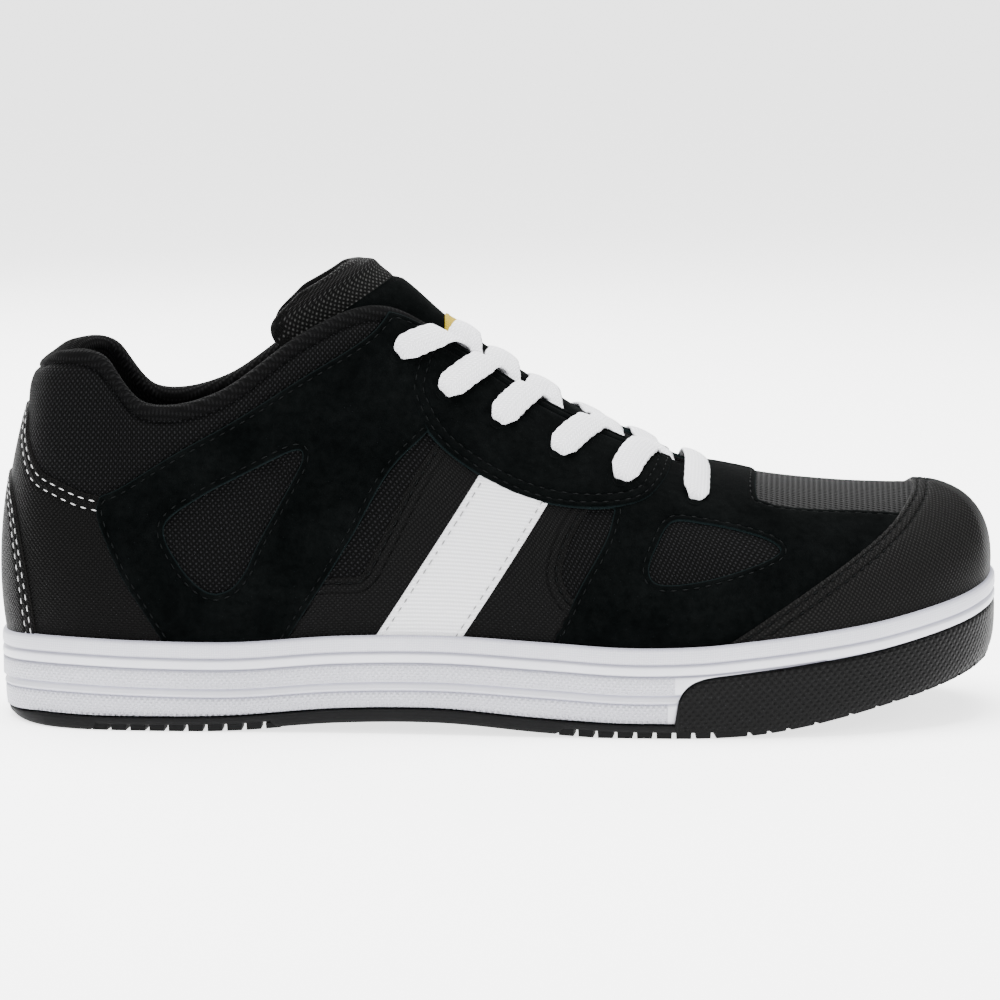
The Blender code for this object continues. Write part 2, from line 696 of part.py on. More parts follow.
def make_insole(collection, foam):
    stations = shoe_stations()
    inset = FEATHER_INSET + UPPER_WALL + FIT_GAP
    low = lambda x: floor_height(x) + FIT_GAP
    rows = [(inset, low), (inset + FIT_GAP, lambda x: low(x) + INSOLE_THICKNESS)]
    return new_object("insole", sole_body(stations, rows), collection, foam)


def make_upper(skin, collection, fabric):
    data = skin.shell(skin.quads, skin.wall, 0.0, skin.rim)
    return new_object("upper", data, collection, fabric)


def panel(skin, name, collection, finish, outline_points, sides, layer=0, thickness=None,
          holes=()):
    """One sewn panel: the part of a shell over the upper that lies inside an outline."""
    thickness = thickness or PANEL_THICKNESS
    low = FIT_GAP + layer * (PANEL_THICKNESS + FIT_GAP)
    xs = [x for x, z in outline_points]
    quads = [quad for quad in skin.quads if quad[0] in sides and quad[2] > 0
             and near_span(skin, quad, min(xs), max(xs))]
    piece = new_object(name, skin.shell(quads, low, low + thickness), collection, finish)
    reach = SOLE_WIDTH
    low_y = -reach if -1 in sides else -SOLE_WIDTH / 3
    high_y = reach if 1 in sides else SOLE_WIDTH / 3
    cut(piece, side_cutter(name + "_cutter", outline_points, low_y, high_y, PANEL_SEAM / 2),
        "INTERSECT")
    for cutter in holes:
        cut(piece, cutter)
    return piece


def near_span(skin, quad, low, high):
    xs = [skin.place[key][0] for key in skin.corners(quad)]
    return max(xs) > low - 0.002 and min(xs) < high + 0.002


def line_up(*lines):
    return [point for line in lines for point in line]


def make_panels(skin, collection, finishes):
    suede, embossed, tape = finishes
    above = side_point(0.5, 2.0)[1]
    below = side_point(0.5, -0.4)[1]
    heel = side_point(-0.1, 0)[0]
    toe = side_point(1.1, 0)[0]
    quarter_front = smooth_line(QUARTER_FRONT)
    quarter_back = smooth_line(QUARTER_BACK)
    quarter_top = smooth_line(QUARTER_TOP)
    eyestay_lower = smooth_line(EYESTAY_LOWER)
    vamp_back = smooth_line(VAMP_BACK)
    toe_cap_back = smooth_line(TOE_CAP_BACK)
    strip = smooth_line(STRIP_FRONT)
    pocket = smooth_line(POCKET_BACK)

    toe_cap = line_up(toe_cap_back, [(toe, toe_cap_back[-1][1]), (toe, toe_cap_back[0][1])])
    panel(skin, "toe_cap", collection, embossed, toe_cap, (-1, 1))

    window = side_cutter("vamp_window", smooth_loop(VAMP_WINDOW), -SOLE_WIDTH, SOLE_WIDTH)
    start = [point for point in eyestay_lower if point[0] > vamp_back[0][0]]
    eyestay_end = start[-1]
    vamp = line_up(start[::-1], vamp_back, [(toe_cap_back[-1][0], vamp_back[-1][1])],
                   toe_cap_back[::-1], [(toe_cap_back[0][0], above), (eyestay_end[0], above)])
    panel(skin, "vamp_overlay", collection, suede, vamp, (-1, 1),
          holes=(window, mesh_window_cutter()))

    stay = line_up(smooth_line(STAY_FRONT), [(heel, below), (heel, side_point(0, 0.585)[1])])
    panel(skin, "heel_stay", collection, embossed, stay, (-1, 1), layer=1)
    counter = line_up(smooth_line(COUNTER_TOP), quarter_back, [(heel, quarter_back[-1][1])],
                      [(heel, smooth_line(COUNTER_TOP)[0][1])])
    panel(skin, "heel_counter", collection, embossed, counter, (-1, 1))

    for side, word in ((-1, "lateral"), (1, "medial")):
        eyestay = line_up(eyestay_lower, [(eyestay_end[0], above), (eyestay_lower[0][0], above)])
        panel(skin, "eyestay_" + word, collection, suede, eyestay, (side,))

        behind = [point for point in eyestay_lower if point[1] > quarter_front[0][1]]
        window = side_cutter("quarter_window", smooth_loop(QUARTER_WINDOW),
                             -SOLE_WIDTH, SOLE_WIDTH)
        quarter = line_up(quarter_top[::-1], behind, quarter_front, quarter_back[::-1])
        panel(skin, "quarter_overlay_" + word, collection, suede, quarter, (side,),
              holes=(window,))

        top = [point for point in eyestay_lower
               if strip[0][0] < point[0] < pocket[0][0] and point[1] < strip[0][1]]
        lower_quarter = [point for point in quarter_front if point[1] < strip[-1][1]]
        lower_vamp = [point for point in vamp_back if point[1] < pocket[-1][1]]
        side_panel = line_up(strip[::-1], top, pocket, lower_vamp, lower_quarter[::-1])
        panel(skin, "side_panel_" + word, collection, embossed, side_panel, (side,))

        (x_top, z_top), (x_low, z_low) = (side_point(*point) for point in TAPE_CENTRE)
        half = TAPE_WIDTH / 2 / math.sin(math.atan2(z_top - z_low, x_top - x_low))
        band = [(x_top - half, z_top), (x_top + half, z_top), (x_low + half, z_low),
                (x_low - half, z_low)]
        piece = panel(skin, "side_tape_" + word, collection, tape, band, (side,), layer=1,
                      thickness=TAPE_THICKNESS)
        trim = line_up(eyestay_lower, [(eyestay_end[0], above), (eyestay_lower[0][0], above)])
        cut(piece, side_cutter("tape_trim", trim, -SOLE_WIDTH, SOLE_WIDTH, -PANEL_SEAM))


def mesh_window_cutter():
    half = SOLE_WIDTH / 2
    points = []
    for side in (-1, 1):
        at = np.linspace(0, 1, (len(MESH_WINDOW) - 1) * 2 + 1)
        curve = smooth_read(np.array(MESH_WINDOW), at)
        line = [((along - 0.5) * SOLE_LENGTH, (ridge_share(along) + side * out) * half)
                for along, out in curve]
        points += line if side < 0 else line[::-1][1:]
    return plan_cutter("mesh_window", points, SOLE_HEIGHT, SOLE_HEIGHT + UPPER_HEIGHT * 1.5)


def ridge_share(along):
    tops = [row[HOOP_COLUMNS.index("top")] for row in HOOPS]
    ridges = [row[HOOP_COLUMNS.index("ridge")] for row in HOOPS]
    return float(np.interp(along, tops, ridges))


def make_tongue(collection, fabric, upper):
    """The tongue lies under the wall beside the throat and stands up through the collar."""
    wall_tree = tree_of(upper)
    arch = [(-out, drop) for out, drop in TONGUE_ARCH[:0:-1]] + list(TONGUE_ARCH)
    shares = np.linspace(0, 1, TONGUE_SECTIONS)
    frames = [tongue_frame(share) for share in shares]
    half = column("TONGUE", "half", shares) * SOLE_WIDTH / 2
    fall = column("TONGUE", "fall", shares) * UPPER_HEIGHT
    thick = column("TONGUE", "thick", shares) * UPPER_HEIGHT
    depth = np.zeros((TONGUE_SECTIONS, len(arch)))
    across = np.zeros(depth.shape)
    for i, (crown, inward) in enumerate(frames):
        for k, (out, drop) in enumerate(arch):
            depth[i, k] = clear_depth(crown, inward, out * half[i], drop * fall[i], wall_tree)
    for _ in range(TONGUE_SECTIONS):
        depth[1:-1] = np.maximum(depth[1:-1], (depth[:-2] + depth[2:]) / 2)
    for i, (crown, inward) in enumerate(frames):
        for k, (out, drop) in enumerate(arch):
            across[i, k] = clear_side(crown + inward * depth[i, k], out * half[i], wall_tree)

    data = bmesh.new()
    loops = []
    for i, (crown, inward) in enumerate(frames):
        flat = np.column_stack([across[i], depth[i]])
        runs = np.gradient(flat, axis=0)
        runs /= np.linalg.norm(runs, axis=1, keepdims=True)
        top, under = [], []
        for k, (out, drop) in enumerate(arch):
            padding = TONGUE_EDGE + max(thick[i] - TONGUE_EDGE, 0) * (1 - out * out)
            inner = flat[k] + np.array([-runs[k, 1], runs[k, 0]]) * padding
            for face, (aside, down) in ((top, flat[k]), (under, inner)):
                face.append(crown + np.array([0, aside, 0]) + inward * down)
        loops.append([data.verts.new(point) for point in top + under[::-1]])
    around = len(loops[0])
    for low, high in zip(loops, loops[1:]):
        for k in range(around):
            after = (k + 1) % around
            data.faces.new((low[k], low[after], high[after], high[k]))
    for loop in (loops[0], loops[-1]):
        for k in range(around // 2 - 1):
            data.faces.new((loop[k], loop[k + 1], loop[around - 2 - k], loop[around - 1 - k]))
    return new_object("tongue", closed(data), collection, fabric)


def tongue_frame(share):
    """The crown of one section of the tongue and the direction square to the tongue there."""
    crown = np.array([(column("TONGUE", "along", share) - 0.5) * SOLE_LENGTH,
                      ridge_share(0.6) * SOLE_WIDTH / 2,
                      SOLE_HEIGHT + column("TONGUE", "height", share) * UPPER_HEIGHT])
    lean = math.radians(column("TONGUE", "lean", share))
    return crown, np.array([-math.sin(lean), 0, -math.cos(lean)])


def clear_depth(crown, inward, across, depth, wall_tree):
    """Push a point of the tongue inwards until it lies clear under the shoe's wall."""
    reach = UPPER_HEIGHT * 0.55
    along = np.array([-inward[2], 0, inward[0]])
    clear = depth
    for aside, ahead in ((0, 0), (-1, 0), (1, 0), (0, -1), (0, 1)):
        probe = crown + np.array([0, across + aside * TONGUE_PROBE, 0]) + inward * reach
        probe = Vector(probe + along * ahead * TONGUE_PROBE)
        distance = wall_tree.ray_cast(probe, Vector(-inward), reach * 2)[3]
        if distance is not None:
            clear = max(clear, reach - distance + TONGUE_GAP)
    return clear


def clear_side(middle, across, wall_tree):
    """Draw a point of the tongue in towards the middle until it clears the shoe's side."""
    if abs(across) < TONGUE_GAP:
        return across
    way = math.copysign(1, across)
    distance = wall_tree.ray_cast(Vector(middle), Vector((0, way, 0)), SOLE_WIDTH)[3]
    if distance is None:
        return across
    return way * min(abs(across), distance - TONGUE_GAP * 2)


def tree_of(*pieces):
    """One search tree over several pieces, to lay the laces on them."""
    vertices, polygons = [], []
    for piece in pieces:
        start = len(vertices)
        vertices += [vert.co.copy() for vert in piece.data.vertices]
        polygons += [[start + k for k in face.vertices] for face in piece.data.polygons]
    return BVHTree.FromPolygons(vertices, polygons)


def rest_height(tree, x, y):
    """How far above the sloping plane of the throat a point lies on the pieces below it."""
    start = throat_point(x, y, SOLE_LENGTH / 3)
    distance = tree.ray_cast(start, -INSTEP)[3]
    return SOLE_LENGTH / 3 - distance if distance is not None else 0.0


def throat_point(x, y, height):
    level = SOLE_HEIGHT + UPPER_HEIGHT * THROAT_LEVEL - x * INSTEP.x / INSTEP.z
    return Vector((x, y, level)) + INSTEP * height


def laid_strip(tree, sections, thickness):
    """A flat band laid taut across the instep; each section is (y, back x, front x)."""
    fine = np.array([np.array(low) + (np.array(high) - np.array(low)) * n / LAID_STEPS
                     for low, high in zip(sections, sections[1:]) for n in range(LAID_STEPS)]
                    + [sections[-1]])
    across = np.linspace(0, 1, 5)
    edges = np.zeros((len(fine), 2))
    for k, (y, back, front) in enumerate(fine):
        rests = np.array([rest_height(tree, back + (front - back) * w, y) for w in across])
        line = rests[0] + (rests[-1] - rests[0]) * across
        edges[k] = rests[[0, -1]] + np.max(rests - line) + LAID_GAP
    places = fine[:, :1]
    weights = (places[1:-1] - places[:-2]) / (places[2:] - places[:-2])
    for _ in range(len(fine) * LAID_STEPS):
        chords = edges[:-2] + (edges[2:] - edges[:-2]) * weights
        edges[1:-1] = np.maximum(edges[1:-1], chords)
    kept = lifted_chords(edges)

    data = bmesh.new()
    loops = []
    for (y, back, front), (rear, fore) in zip(sections, kept):
        corners = [throat_point(back, y, rear), throat_point(front, y, fore),
                   throat_point(front, y, fore + thickness),
                   throat_point(back, y, rear + thickness)]
        loops.append([data.verts.new(corner) for corner in corners])
    for low, high in zip(loops, loops[1:]):
        for k in range(4):
            after = (k + 1) % 4
            data.faces.new((low[k], low[after], high[after], high[k]))
    data.faces.new(loops[0])
    data.faces.new(loops[-1][::-1])
    return closed(data)


def lifted_chords(edges):
    """The sections' own heights, raised so that the chords between them clear the rest."""
    kept = edges[::LAID_STEPS].copy()
    lifts = np.zeros(kept.shape)
    for k in range(len(kept) - 1):
        steps = np.arange(LAID_STEPS)[:, None] / LAID_STEPS
        chord = kept[k] + (kept[k + 1] - kept[k]) * steps
        short = np.max(edges[k * LAID_STEPS:(k + 1) * LAID_STEPS] - chord, axis=0)
        lifts[k] = np.maximum(lifts[k], short)
        lifts[k + 1] = np.maximum(lifts[k + 1], short)
    return kept + lifts


def make_laces(collection, cotton, parts):
    """Bands over the tongue: each crossing is two arms, joined where they cross."""
    tree = tree_of(*parts)
    holes = [((along - 0.5) * SOLE_LENGTH, out * SOLE_WIDTH / 2, reach)
             for along, out, reach in LACE_HOLES]
    for k, ((x, y, reach), (next_x, next_y, _)) in enumerate(zip(holes, holes[1:])):
        span = y + next_y
        slant = (next_x - x) / span
        half = LACE_WIDTH / 2 * math.hypot(1, slant)
        arm_end = reach * span - y
        outs = [y, (y + arm_end) / 2, arm_end + LACE_STEP, arm_end, arm_end / 2]
        sections = []
        for out in outs + [0.0] + outs[::-1]:
            middle = x + slant * (y - out)
            crossing = x + slant * (y + out)
            front = crossing if out <= arm_end else middle
            sections.append([out, middle - half, front + half])
        for section in sections[:len(outs)]:
            section[0] = -section[0]
        band = laid_strip(tree, sections, LACE_THICKNESS)
        new_object("lace_crossing_%d" % (k + 1), band, collection, cotton)
    x, y, _ = holes[-1]
    across = np.linspace(-y, y, LAID_SECTIONS)
    sections = [(place, x - LACE_WIDTH / 2, x + LACE_WIDTH / 2) for place in across]
    bar = laid_strip(tree, sections, LACE_THICKNESS)
    new_object("lace_front_bar", bar, collection, cotton)


def make_label(collection, finish, tongue):
    """The flat label sewn to the middle of the tongue."""
    x = (LABEL_PLACE - 0.5) * SOLE_LENGTH
    across = np.linspace(-LABEL_WIDTH / 2, LABEL_WIDTH / 2, LAID_SECTIONS)
    sections = [(place, x - LABEL_LENGTH / 2, x + LABEL_LENGTH / 2) for place in across]
    band = laid_strip(tree_of(tongue), sections, LABEL_THICKNESS)
    return new_object("tongue_label", band, collection, finish)


def main():
    for piece in list(bpy.data.objects):
        bpy.data.objects.remove(piece)
    collection = bpy.data.collections.new(NAME)
    cutters = bpy.data.collections.new("cutters")
    for group in (collection, cutters):
        bpy.context.scene.collection.children.link(group)

    black_rubber = material("black_rubber", (0.012, 0.012, 0.013), 0.6)
    white_rubber = material("white_rubber", (0.80, 0.80, 0.82), 0.5)
    woven_fabric = material("woven_fabric", (0.015, 0.015, 0.015), 0.8)
    suede = material("suede", (0.006, 0.007, 0.007), 0.95)
    embossed = material("embossed_panel", (0.020, 0.019, 0.019), 0.55)
    white_tape = material("white_tape", (0.78, 0.79, 0.80), 0.8)
    lace_cotton = material("lace_cotton", (0.82, 0.82, 0.85), 0.85)
    insole_cloth = material("insole_cloth", (0.030, 0.030, 0.032), 0.9)
    yellow_label = material("yellow_label", (0.85, 0.60, 0.03), 0.6)

    skin = Skin()
    make_outsole(collection, black_rubber)
    make_midsole(collection, white_rubber)
    make_insole(collection, insole_cloth)
    upper = make_upper(skin, collection, woven_fabric)
    make_panels(skin, collection, (suede, embossed, white_tape))
    tongue = make_tongue(collection, woven_fabric, upper)
    make_label(collection, yellow_label, tongue)
    under_laces = [bpy.data.objects[name] for name in
                   ("upper", "tongue", "tongue_label", "eyestay_lateral", "eyestay_medial",
                    "vamp_overlay", "quarter_overlay_lateral", "quarter_overlay_medial")]
    make_laces(collection, lace_cotton, under_laces)


main()
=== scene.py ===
# %% [markdown]
# # A low safety sneaker, dressed round its solids
#
# The solids say how big the shoe is and where its pieces lie. This script gives them what a
# shoe shows from close by: cloth, suede, grain, seams, stitches and laces. Everything is in
# metres: the toe points along +X, the inner side of the foot is +Y, and the floor is z = 0.

# %% Load the frame
import json
import math
import random

import bmesh
import bpy
import numpy as np
from mathutils import Matrix, Vector
from mathutils.bvhtree import BVHTree

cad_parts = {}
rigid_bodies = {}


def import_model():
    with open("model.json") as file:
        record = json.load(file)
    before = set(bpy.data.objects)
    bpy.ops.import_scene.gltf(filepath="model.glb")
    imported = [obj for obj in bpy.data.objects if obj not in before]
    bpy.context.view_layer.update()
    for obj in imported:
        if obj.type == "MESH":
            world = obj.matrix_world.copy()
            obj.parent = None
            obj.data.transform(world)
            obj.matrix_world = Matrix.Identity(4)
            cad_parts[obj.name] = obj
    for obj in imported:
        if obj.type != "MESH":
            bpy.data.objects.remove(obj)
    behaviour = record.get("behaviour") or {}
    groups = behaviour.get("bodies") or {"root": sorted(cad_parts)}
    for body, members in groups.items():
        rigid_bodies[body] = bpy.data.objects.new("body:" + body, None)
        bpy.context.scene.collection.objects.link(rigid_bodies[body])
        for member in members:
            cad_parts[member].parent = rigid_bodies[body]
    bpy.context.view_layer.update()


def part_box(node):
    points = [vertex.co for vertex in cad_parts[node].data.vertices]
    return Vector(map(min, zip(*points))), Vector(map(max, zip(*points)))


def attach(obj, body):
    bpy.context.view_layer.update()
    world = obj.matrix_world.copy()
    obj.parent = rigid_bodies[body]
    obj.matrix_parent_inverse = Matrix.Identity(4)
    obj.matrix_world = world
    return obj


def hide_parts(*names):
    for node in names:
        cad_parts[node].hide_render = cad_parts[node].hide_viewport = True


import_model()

random.seed(4)
sole_low, sole_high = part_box("outsole")
SOLE_LENGTH = sole_high[0] - sole_low[0]
SOLE_WIDTH = sole_high[1] - sole_low[1]
MM = 0.001
print("sole", round(SOLE_LENGTH, 4), "x", round(SOLE_WIDTH, 4))

# %% [markdown]
# ## Camera, floor and light
#
# A catalogue picture of a shoe is taken from far away with a long lens, level with the side
# of the shoe and a little above it, so the shoe hardly narrows towards its toe. The light comes
# from large soft boxes: one over the shoe, one in front of it and one behind, which
# draws a thin bright line along the black edges.

# %% Camera, floor and light
CAMERA_DISTANCE = 1.40
CAMERA_RISE = math.radians(7.5)
CAMERA_TARGET = Vector((0, 0, 0.064))
CAMERA_LENS = 166.1

camera = bpy.data.objects.new("camera", bpy.data.cameras.new("camera"))
camera.data.lens = CAMERA_LENS
camera.data.clip_start = 0.05
away = Vector((0, -math.cos(CAMERA_RISE), math.sin(CAMERA_RISE)))
camera.location = CAMERA_TARGET + away * CAMERA_DISTANCE
camera.rotation_euler = (-away).to_track_quat("-Z", "Y").to_euler()
bpy.context.scene.collection.objects.link(camera)
bpy.context.scene.camera = camera


def soft_box(name, place, size, power):
    """A flat rectangular light that looks at the middle of the shoe."""
    data = bpy.data.lights.new(name, "AREA")
    data.shape = "RECTANGLE"
    data.size, data.size_y = size
    data.energy = power
    light = bpy.data.objects.new(name, data)
    light.location = place
    aim = CAMERA_TARGET - Vector(place)
    light.rotation_euler = aim.to_track_quat("-Z", "Y").to_euler()
    bpy.context.scene.collection.objects.link(light)


soft_box("box_above", (-0.10, 0.10, 1.3), (1.6, 0.9), 66)
soft_box("box_front", (-0.5, -1.5, 0.7), (1.2, 0.9), 17)
soft_box("box_toe", (1.1, -0.5, 0.5), (0.7, 0.7), 12)
soft_box("box_behind", (-0.6, 1.1, 0.8), (1.0, 0.5), 24)

world = bpy.data.worlds.new("studio")
world.use_nodes = True
sky = world.node_tree.nodes["Background"].inputs
sky["Color"].default_value = (1.0, 1.0, 1.0, 1)
sky["Strength"].default_value = 0.95
bpy.context.scene.world = world

floor_data = bmesh.new()
bmesh.ops.create_grid(floor_data, x_segments=1, y_segments=1, size=20)
floor_mesh = bpy.data.meshes.new("floor")
floor_data.to_mesh(floor_mesh)
floor = bpy.data.objects.new("floor", floor_mesh)
paper = bpy.data.materials.new("pale_paper")
paper.use_nodes = True
paper_shader = paper.node_tree.nodes["Principled BSDF"]
for socket, value in (("Base Color", (0.93, 0.93, 0.93, 1)), ("Roughness", 0.9),
                      ("Specular IOR Level", 0.0), ("Emission Color", (1, 1, 1, 1)),
                      ("Emission Strength", 2.1)):
    paper_shader.inputs[socket].default_value = value
floor_mesh.materials.append(paper)
bpy.context.scene.collection.objects.link(floor)
print("camera at", tuple(round(value, 3) for value in camera.location))

# %% [markdown]
# ## The shape that everything lies on
#
# A shoe is built on a last, and each layer follows it. Here the last is a surface that can be
# read anywhere: hoops leave the edge of the sole, climb the side and end at the collar, at the
# throat or at the ridge over the toes. The rows below are the same shares of the main sizes
# as in the solids, so a fine surface read from them lies on the coarse one.

# %% Tables of the last
SOLE_HEIGHT = 0.0265
UPPER_HEIGHT = 0.0835
FEATHER_INSET = 0.0035
CUP_DEPTH = 0.004
STATIONS = 19
FIRST_CLOSED = 12 / (STATIONS - 1)

# One row for each station from heel to toe: along, outer, inner, lip, bottom.
SOLE_ROWS = np.array((
    (0.000, 0.00, 0.00, 0.990, 0.060), (0.006, 0.27, 0.24, 1.000, 0.040),
    (0.030, 0.51, 0.46, 1.030, 0.012), (0.080, 0.68, 0.62, 1.038, 0.000),
    (0.150, 0.75, 0.69, 1.017, 0.000), (0.240, 0.775, 0.69, 1.010, 0.022),
    (0.340, 0.80, 0.65, 1.088, 0.110), (0.440, 0.86, 0.64, 1.112, 0.130),
    (0.540, 0.93, 0.70, 1.058, 0.045), (0.620, 0.98, 0.81, 1.009, 0.000),
    (0.690, 1.00, 0.92, 1.025, 0.000), (0.750, 0.985, 0.985, 1.088, 0.034),
    (0.810, 0.93, 1.00, 1.162, 0.140), (0.870, 0.82, 0.985, 1.250, 0.290),
    (0.922, 0.665, 0.91, 1.360, 0.430), (0.961, 0.47, 0.79, 1.453, 0.550),
    (0.986, 0.25, 0.62, 1.536, 0.655), (0.998, 0.00, 0.41, 1.590, 0.730),
    (1.000, -0.20, 0.20, 1.611, 0.755)))

# One hoop for each station: top, ridge, gap, height, belly, rise, crown, drop.
HOOP_ROWS = np.array((
    (0.040, 0.00, 0.00, 0.952, 0.050, 0.33, 0.080, 0.33),
    (0.046, 0.00, 0.22, 0.966, 0.050, 0.33, 0.075, 0.33),
    (0.066, 0.00, 0.39, 0.998, 0.050, 0.33, 0.065, 0.33),
    (0.104, 0.00, 0.49, 0.985, 0.045, 0.33, 0.050, 0.33),
    (0.150, 0.00, 0.53, 0.815, 0.040, 0.35, 0.040, 0.33),
    (0.225, 0.00, 0.54, 0.855, 0.035, 0.35, 0.040, 0.33),
    (0.312, 0.00, 0.48, 1.072, 0.030, 0.38, 0.070, 0.30),
    (0.385, 0.00, 0.38, 1.160, 0.030, 0.40, 0.100, 0.25),
    (0.461, 0.00, 0.27, 1.020, 0.030, 0.42, 0.120, 0.20),
    (0.545, 0.00, 0.25, 0.824, 0.030, 0.45, 0.140, 0.16),
    (0.620, 0.01, 0.24, 0.692, 0.030, 0.48, 0.170, 0.13),
    (0.680, 0.03, 0.17, 0.592, 0.030, 0.50, 0.230, 0.07),
    (0.708, 0.05, 0.00, 0.580, 0.030, 0.52, 0.290, 0.00),
    (0.765, 0.07, 0.00, 0.538, 0.030, 0.55, 0.290, 0.00),
    (0.820, 0.09, 0.00, 0.515, 0.030, 0.58, 0.270, 0.00),
    (0.866, 0.10, 0.00, 0.508, 0.030, 0.60, 0.240, 0.00),
    (0.904, 0.12, 0.00, 0.508, 0.030, 0.62, 0.220, 0.00),
    (0.904, 0.12, 0.00, 0.508, 0.030, 0.62, 0.210, 0.00),
    (0.904, 0.12, 0.00, 0.508, 0.030, 0.62, 0.210, 0.00)))
print("stations", STATIONS)

# %% Reading the tables


def smooth_read(values, at, even=False):
    """Read a list on a smooth curve; an even one is level where the two sides meet."""
    values = np.asarray(values, float)
    place = np.clip(np.asarray(at, float), 0, 1) * (len(values) - 1)
    low = np.clip(place.astype(int), 0, len(values) - 2)
    s = place - low
    s = s[..., None] if values.ndim > 1 else s
    first = values[1] if even else 2 * values[0] - values[1]
    last = values[-2] if even else 2 * values[-1] - values[-2]
    padded = np.concatenate([[first], values, [last]])
    a, b, c, d = (padded[low + k] for k in range(4))
    return 0.5 * (2 * b + (c - a) * s + (2 * a - 5 * b + 4 * c - d) * s ** 2
                  + (3 * b - a - 3 * c + d) * s ** 3)


def outline(s):
    """The sole's edge: s runs from -1 at the toe along the outer side to 0 at the heel and to 1."""
    u = np.abs(s)
    half = np.where(s < 0, -smooth_read(SOLE_ROWS[:, 1], u), smooth_read(SOLE_ROWS[:, 2], u))
    x = (smooth_read(SOLE_ROWS[:, 0], u, True) - 0.5) * SOLE_LENGTH
    return np.stack([x, half * SOLE_WIDTH / 2], -1)


def round_sides(s):
    """Carry a place past the toe over to the other side."""
    return np.where(s < -1, s + 2, np.where(s > 1, s - 2, s))


def outward(s, step=2e-3):
    run = outline(round_sides(s + step)) - outline(round_sides(s - step))
    run /= np.linalg.norm(run, axis=-1, keepdims=True)
    return np.stack([-run[..., 1], run[..., 0]], -1)


ALONG = np.linspace(0, 1, 2001)
ALONG_X = (smooth_read(SOLE_ROWS[:, 0], ALONG, True) - 0.5) * SOLE_LENGTH
LIP = smooth_read(SOLE_ROWS[:, 3], ALONG) * SOLE_HEIGHT
BOTTOM = np.maximum(smooth_read(SOLE_ROWS[:, 4], ALONG), 0) * SOLE_HEIGHT


def lip_height(x):
    return np.interp(x, ALONG_X, LIP)


def bottom_height(x):
    return np.interp(x, ALONG_X, BOTTOM)


print("sole rises at the toe to", round(float(BOTTOM[-1]), 4))

# %% Hoops up the side


def hoop(s, t):
    """A point of the last's surface: t runs from 0 at the sole to 1 at the hoop's end."""
    s, t = np.broadcast_arrays(np.asarray(s, float), np.asarray(t, float))
    u = np.abs(s)
    out = outward(s)
    foot = outline(s) - out * FEATHER_INSET
    low = lip_height(foot[..., 0]) - CUP_DEPTH
    top, ridge, gap, height, belly, rise, crown, drop = (
        smooth_read(HOOP_ROWS[:, k], u, True) for k in range(8))
    high = SOLE_HEIGHT + height * UPPER_HEIGHT
    gap = np.where(u < FIRST_CLOSED - 1e-9, np.maximum(gap, 0), 0)
    top_x = (np.minimum(top, HOOP_ROWS[-1, 0]) - 0.5) * SOLE_LENGTH
    top_y = (ridge + np.sign(s) * gap) * SOLE_WIDTH / 2
    ends = np.stack([foot[..., 0], foot[..., 1], low], -1)
    tops = np.stack([top_x, top_y, high], -1)
    level = np.stack([out[..., 0], out[..., 1], np.zeros(u.shape)], -1)
    upright = np.array([0.0, 0.0, 1.0])
    leave = (ends + level * (belly * SOLE_WIDTH)[..., None]
             + upright * (rise * (high - low))[..., None])
    arrive = (tops + level * (crown * SOLE_WIDTH)[..., None]
              - upright * (drop * (high - low))[..., None])
    t = t[..., None]
    return (ends * (1 - t) ** 3 + 3 * leave * t * (1 - t) ** 2
            + 3 * arrive * t ** 2 * (1 - t) + tops * t ** 3)


print("heel top", np.round(hoop(0.0, 1.0), 4), "ball", np.round(hoop(-0.55, 0.4), 4))

# %% [markdown]
# ## Patches of that surface
#
# A panel needs three things at each of its points: where it is, which way is out, and how far
# it has come along the cloth, so that a weave or a row of stitches keeps its size on a curve.
# A patch is a table of such points. Grids that run round the heel serve the sides, and grids
# that run over the ridge serve the toes. Where the grid closes up over the toes its points
# come together, and the direction out is taken from its neighbours.

# %% Patches
CELL = 0.9 * MM
# The metres that one step of s, one hoop up the side and one hoop over the toes take at most.
OUTLINE_REACH, HOOP_REACH, TOE_REACH = 0.34, 0.105, 0.075
POLE_CELL, POLE_RING = 0.12 * MM, 4 * MM


class Patch:
    """A table of points on the last, with directions out and distances along the cloth."""

    def __init__(self, places, turn=1):
        self.place = places
        self.turn = turn
        along = np.gradient(places, axis=0)
        up = np.gradient(places, axis=1)
        out = np.cross(up, along) * turn
        size = np.linalg.norm(out, axis=-1, keepdims=True)
        out = np.where(size > 1e-12, out / np.maximum(size, 1e-12), np.array([0.0, 0.0, 1.0]))
        thin = np.linalg.norm(along, axis=-1) < POLE_CELL
        if thin.any() and not thin.all():
            pole = places[thin].mean(axis=0)
            ring = ~thin & (np.linalg.norm(places - pole, axis=-1) < POLE_RING)
            cap = out[ring].mean(axis=0)
            out[thin] = cap / np.linalg.norm(cap)
        self.out = out
        steps = np.linalg.norm(np.diff(places, axis=0), axis=-1)
        middle = np.median(steps, axis=1)
        far = np.concatenate([[0.0], np.cumsum(middle)])
        rises = np.linalg.norm(np.diff(places, axis=1), axis=-1)
        high = np.concatenate([np.zeros((len(places), 1)), np.cumsum(rises, axis=1)], axis=1)
        self.cloth = np.stack([np.broadcast_to(far[:, None], high.shape), high], -1)

    def slope(self, field):
        """The direction in which a field grows along the surface, and how fast."""
        along = np.gradient(self.place, axis=0)
        up = np.gradient(self.place, axis=1)
        aa = np.sum(along * along, -1)
        au = np.sum(along * up, -1)
        uu = np.sum(up * up, -1)
        flat = np.maximum(aa * uu - au * au, 1e-16)
        fa, fu = np.gradient(field, axis=0), np.gradient(field, axis=1)
        ca, cu = (uu * fa - au * fu) / flat, (aa * fu - au * fa) / flat
        return along * ca[..., None] + up * cu[..., None]


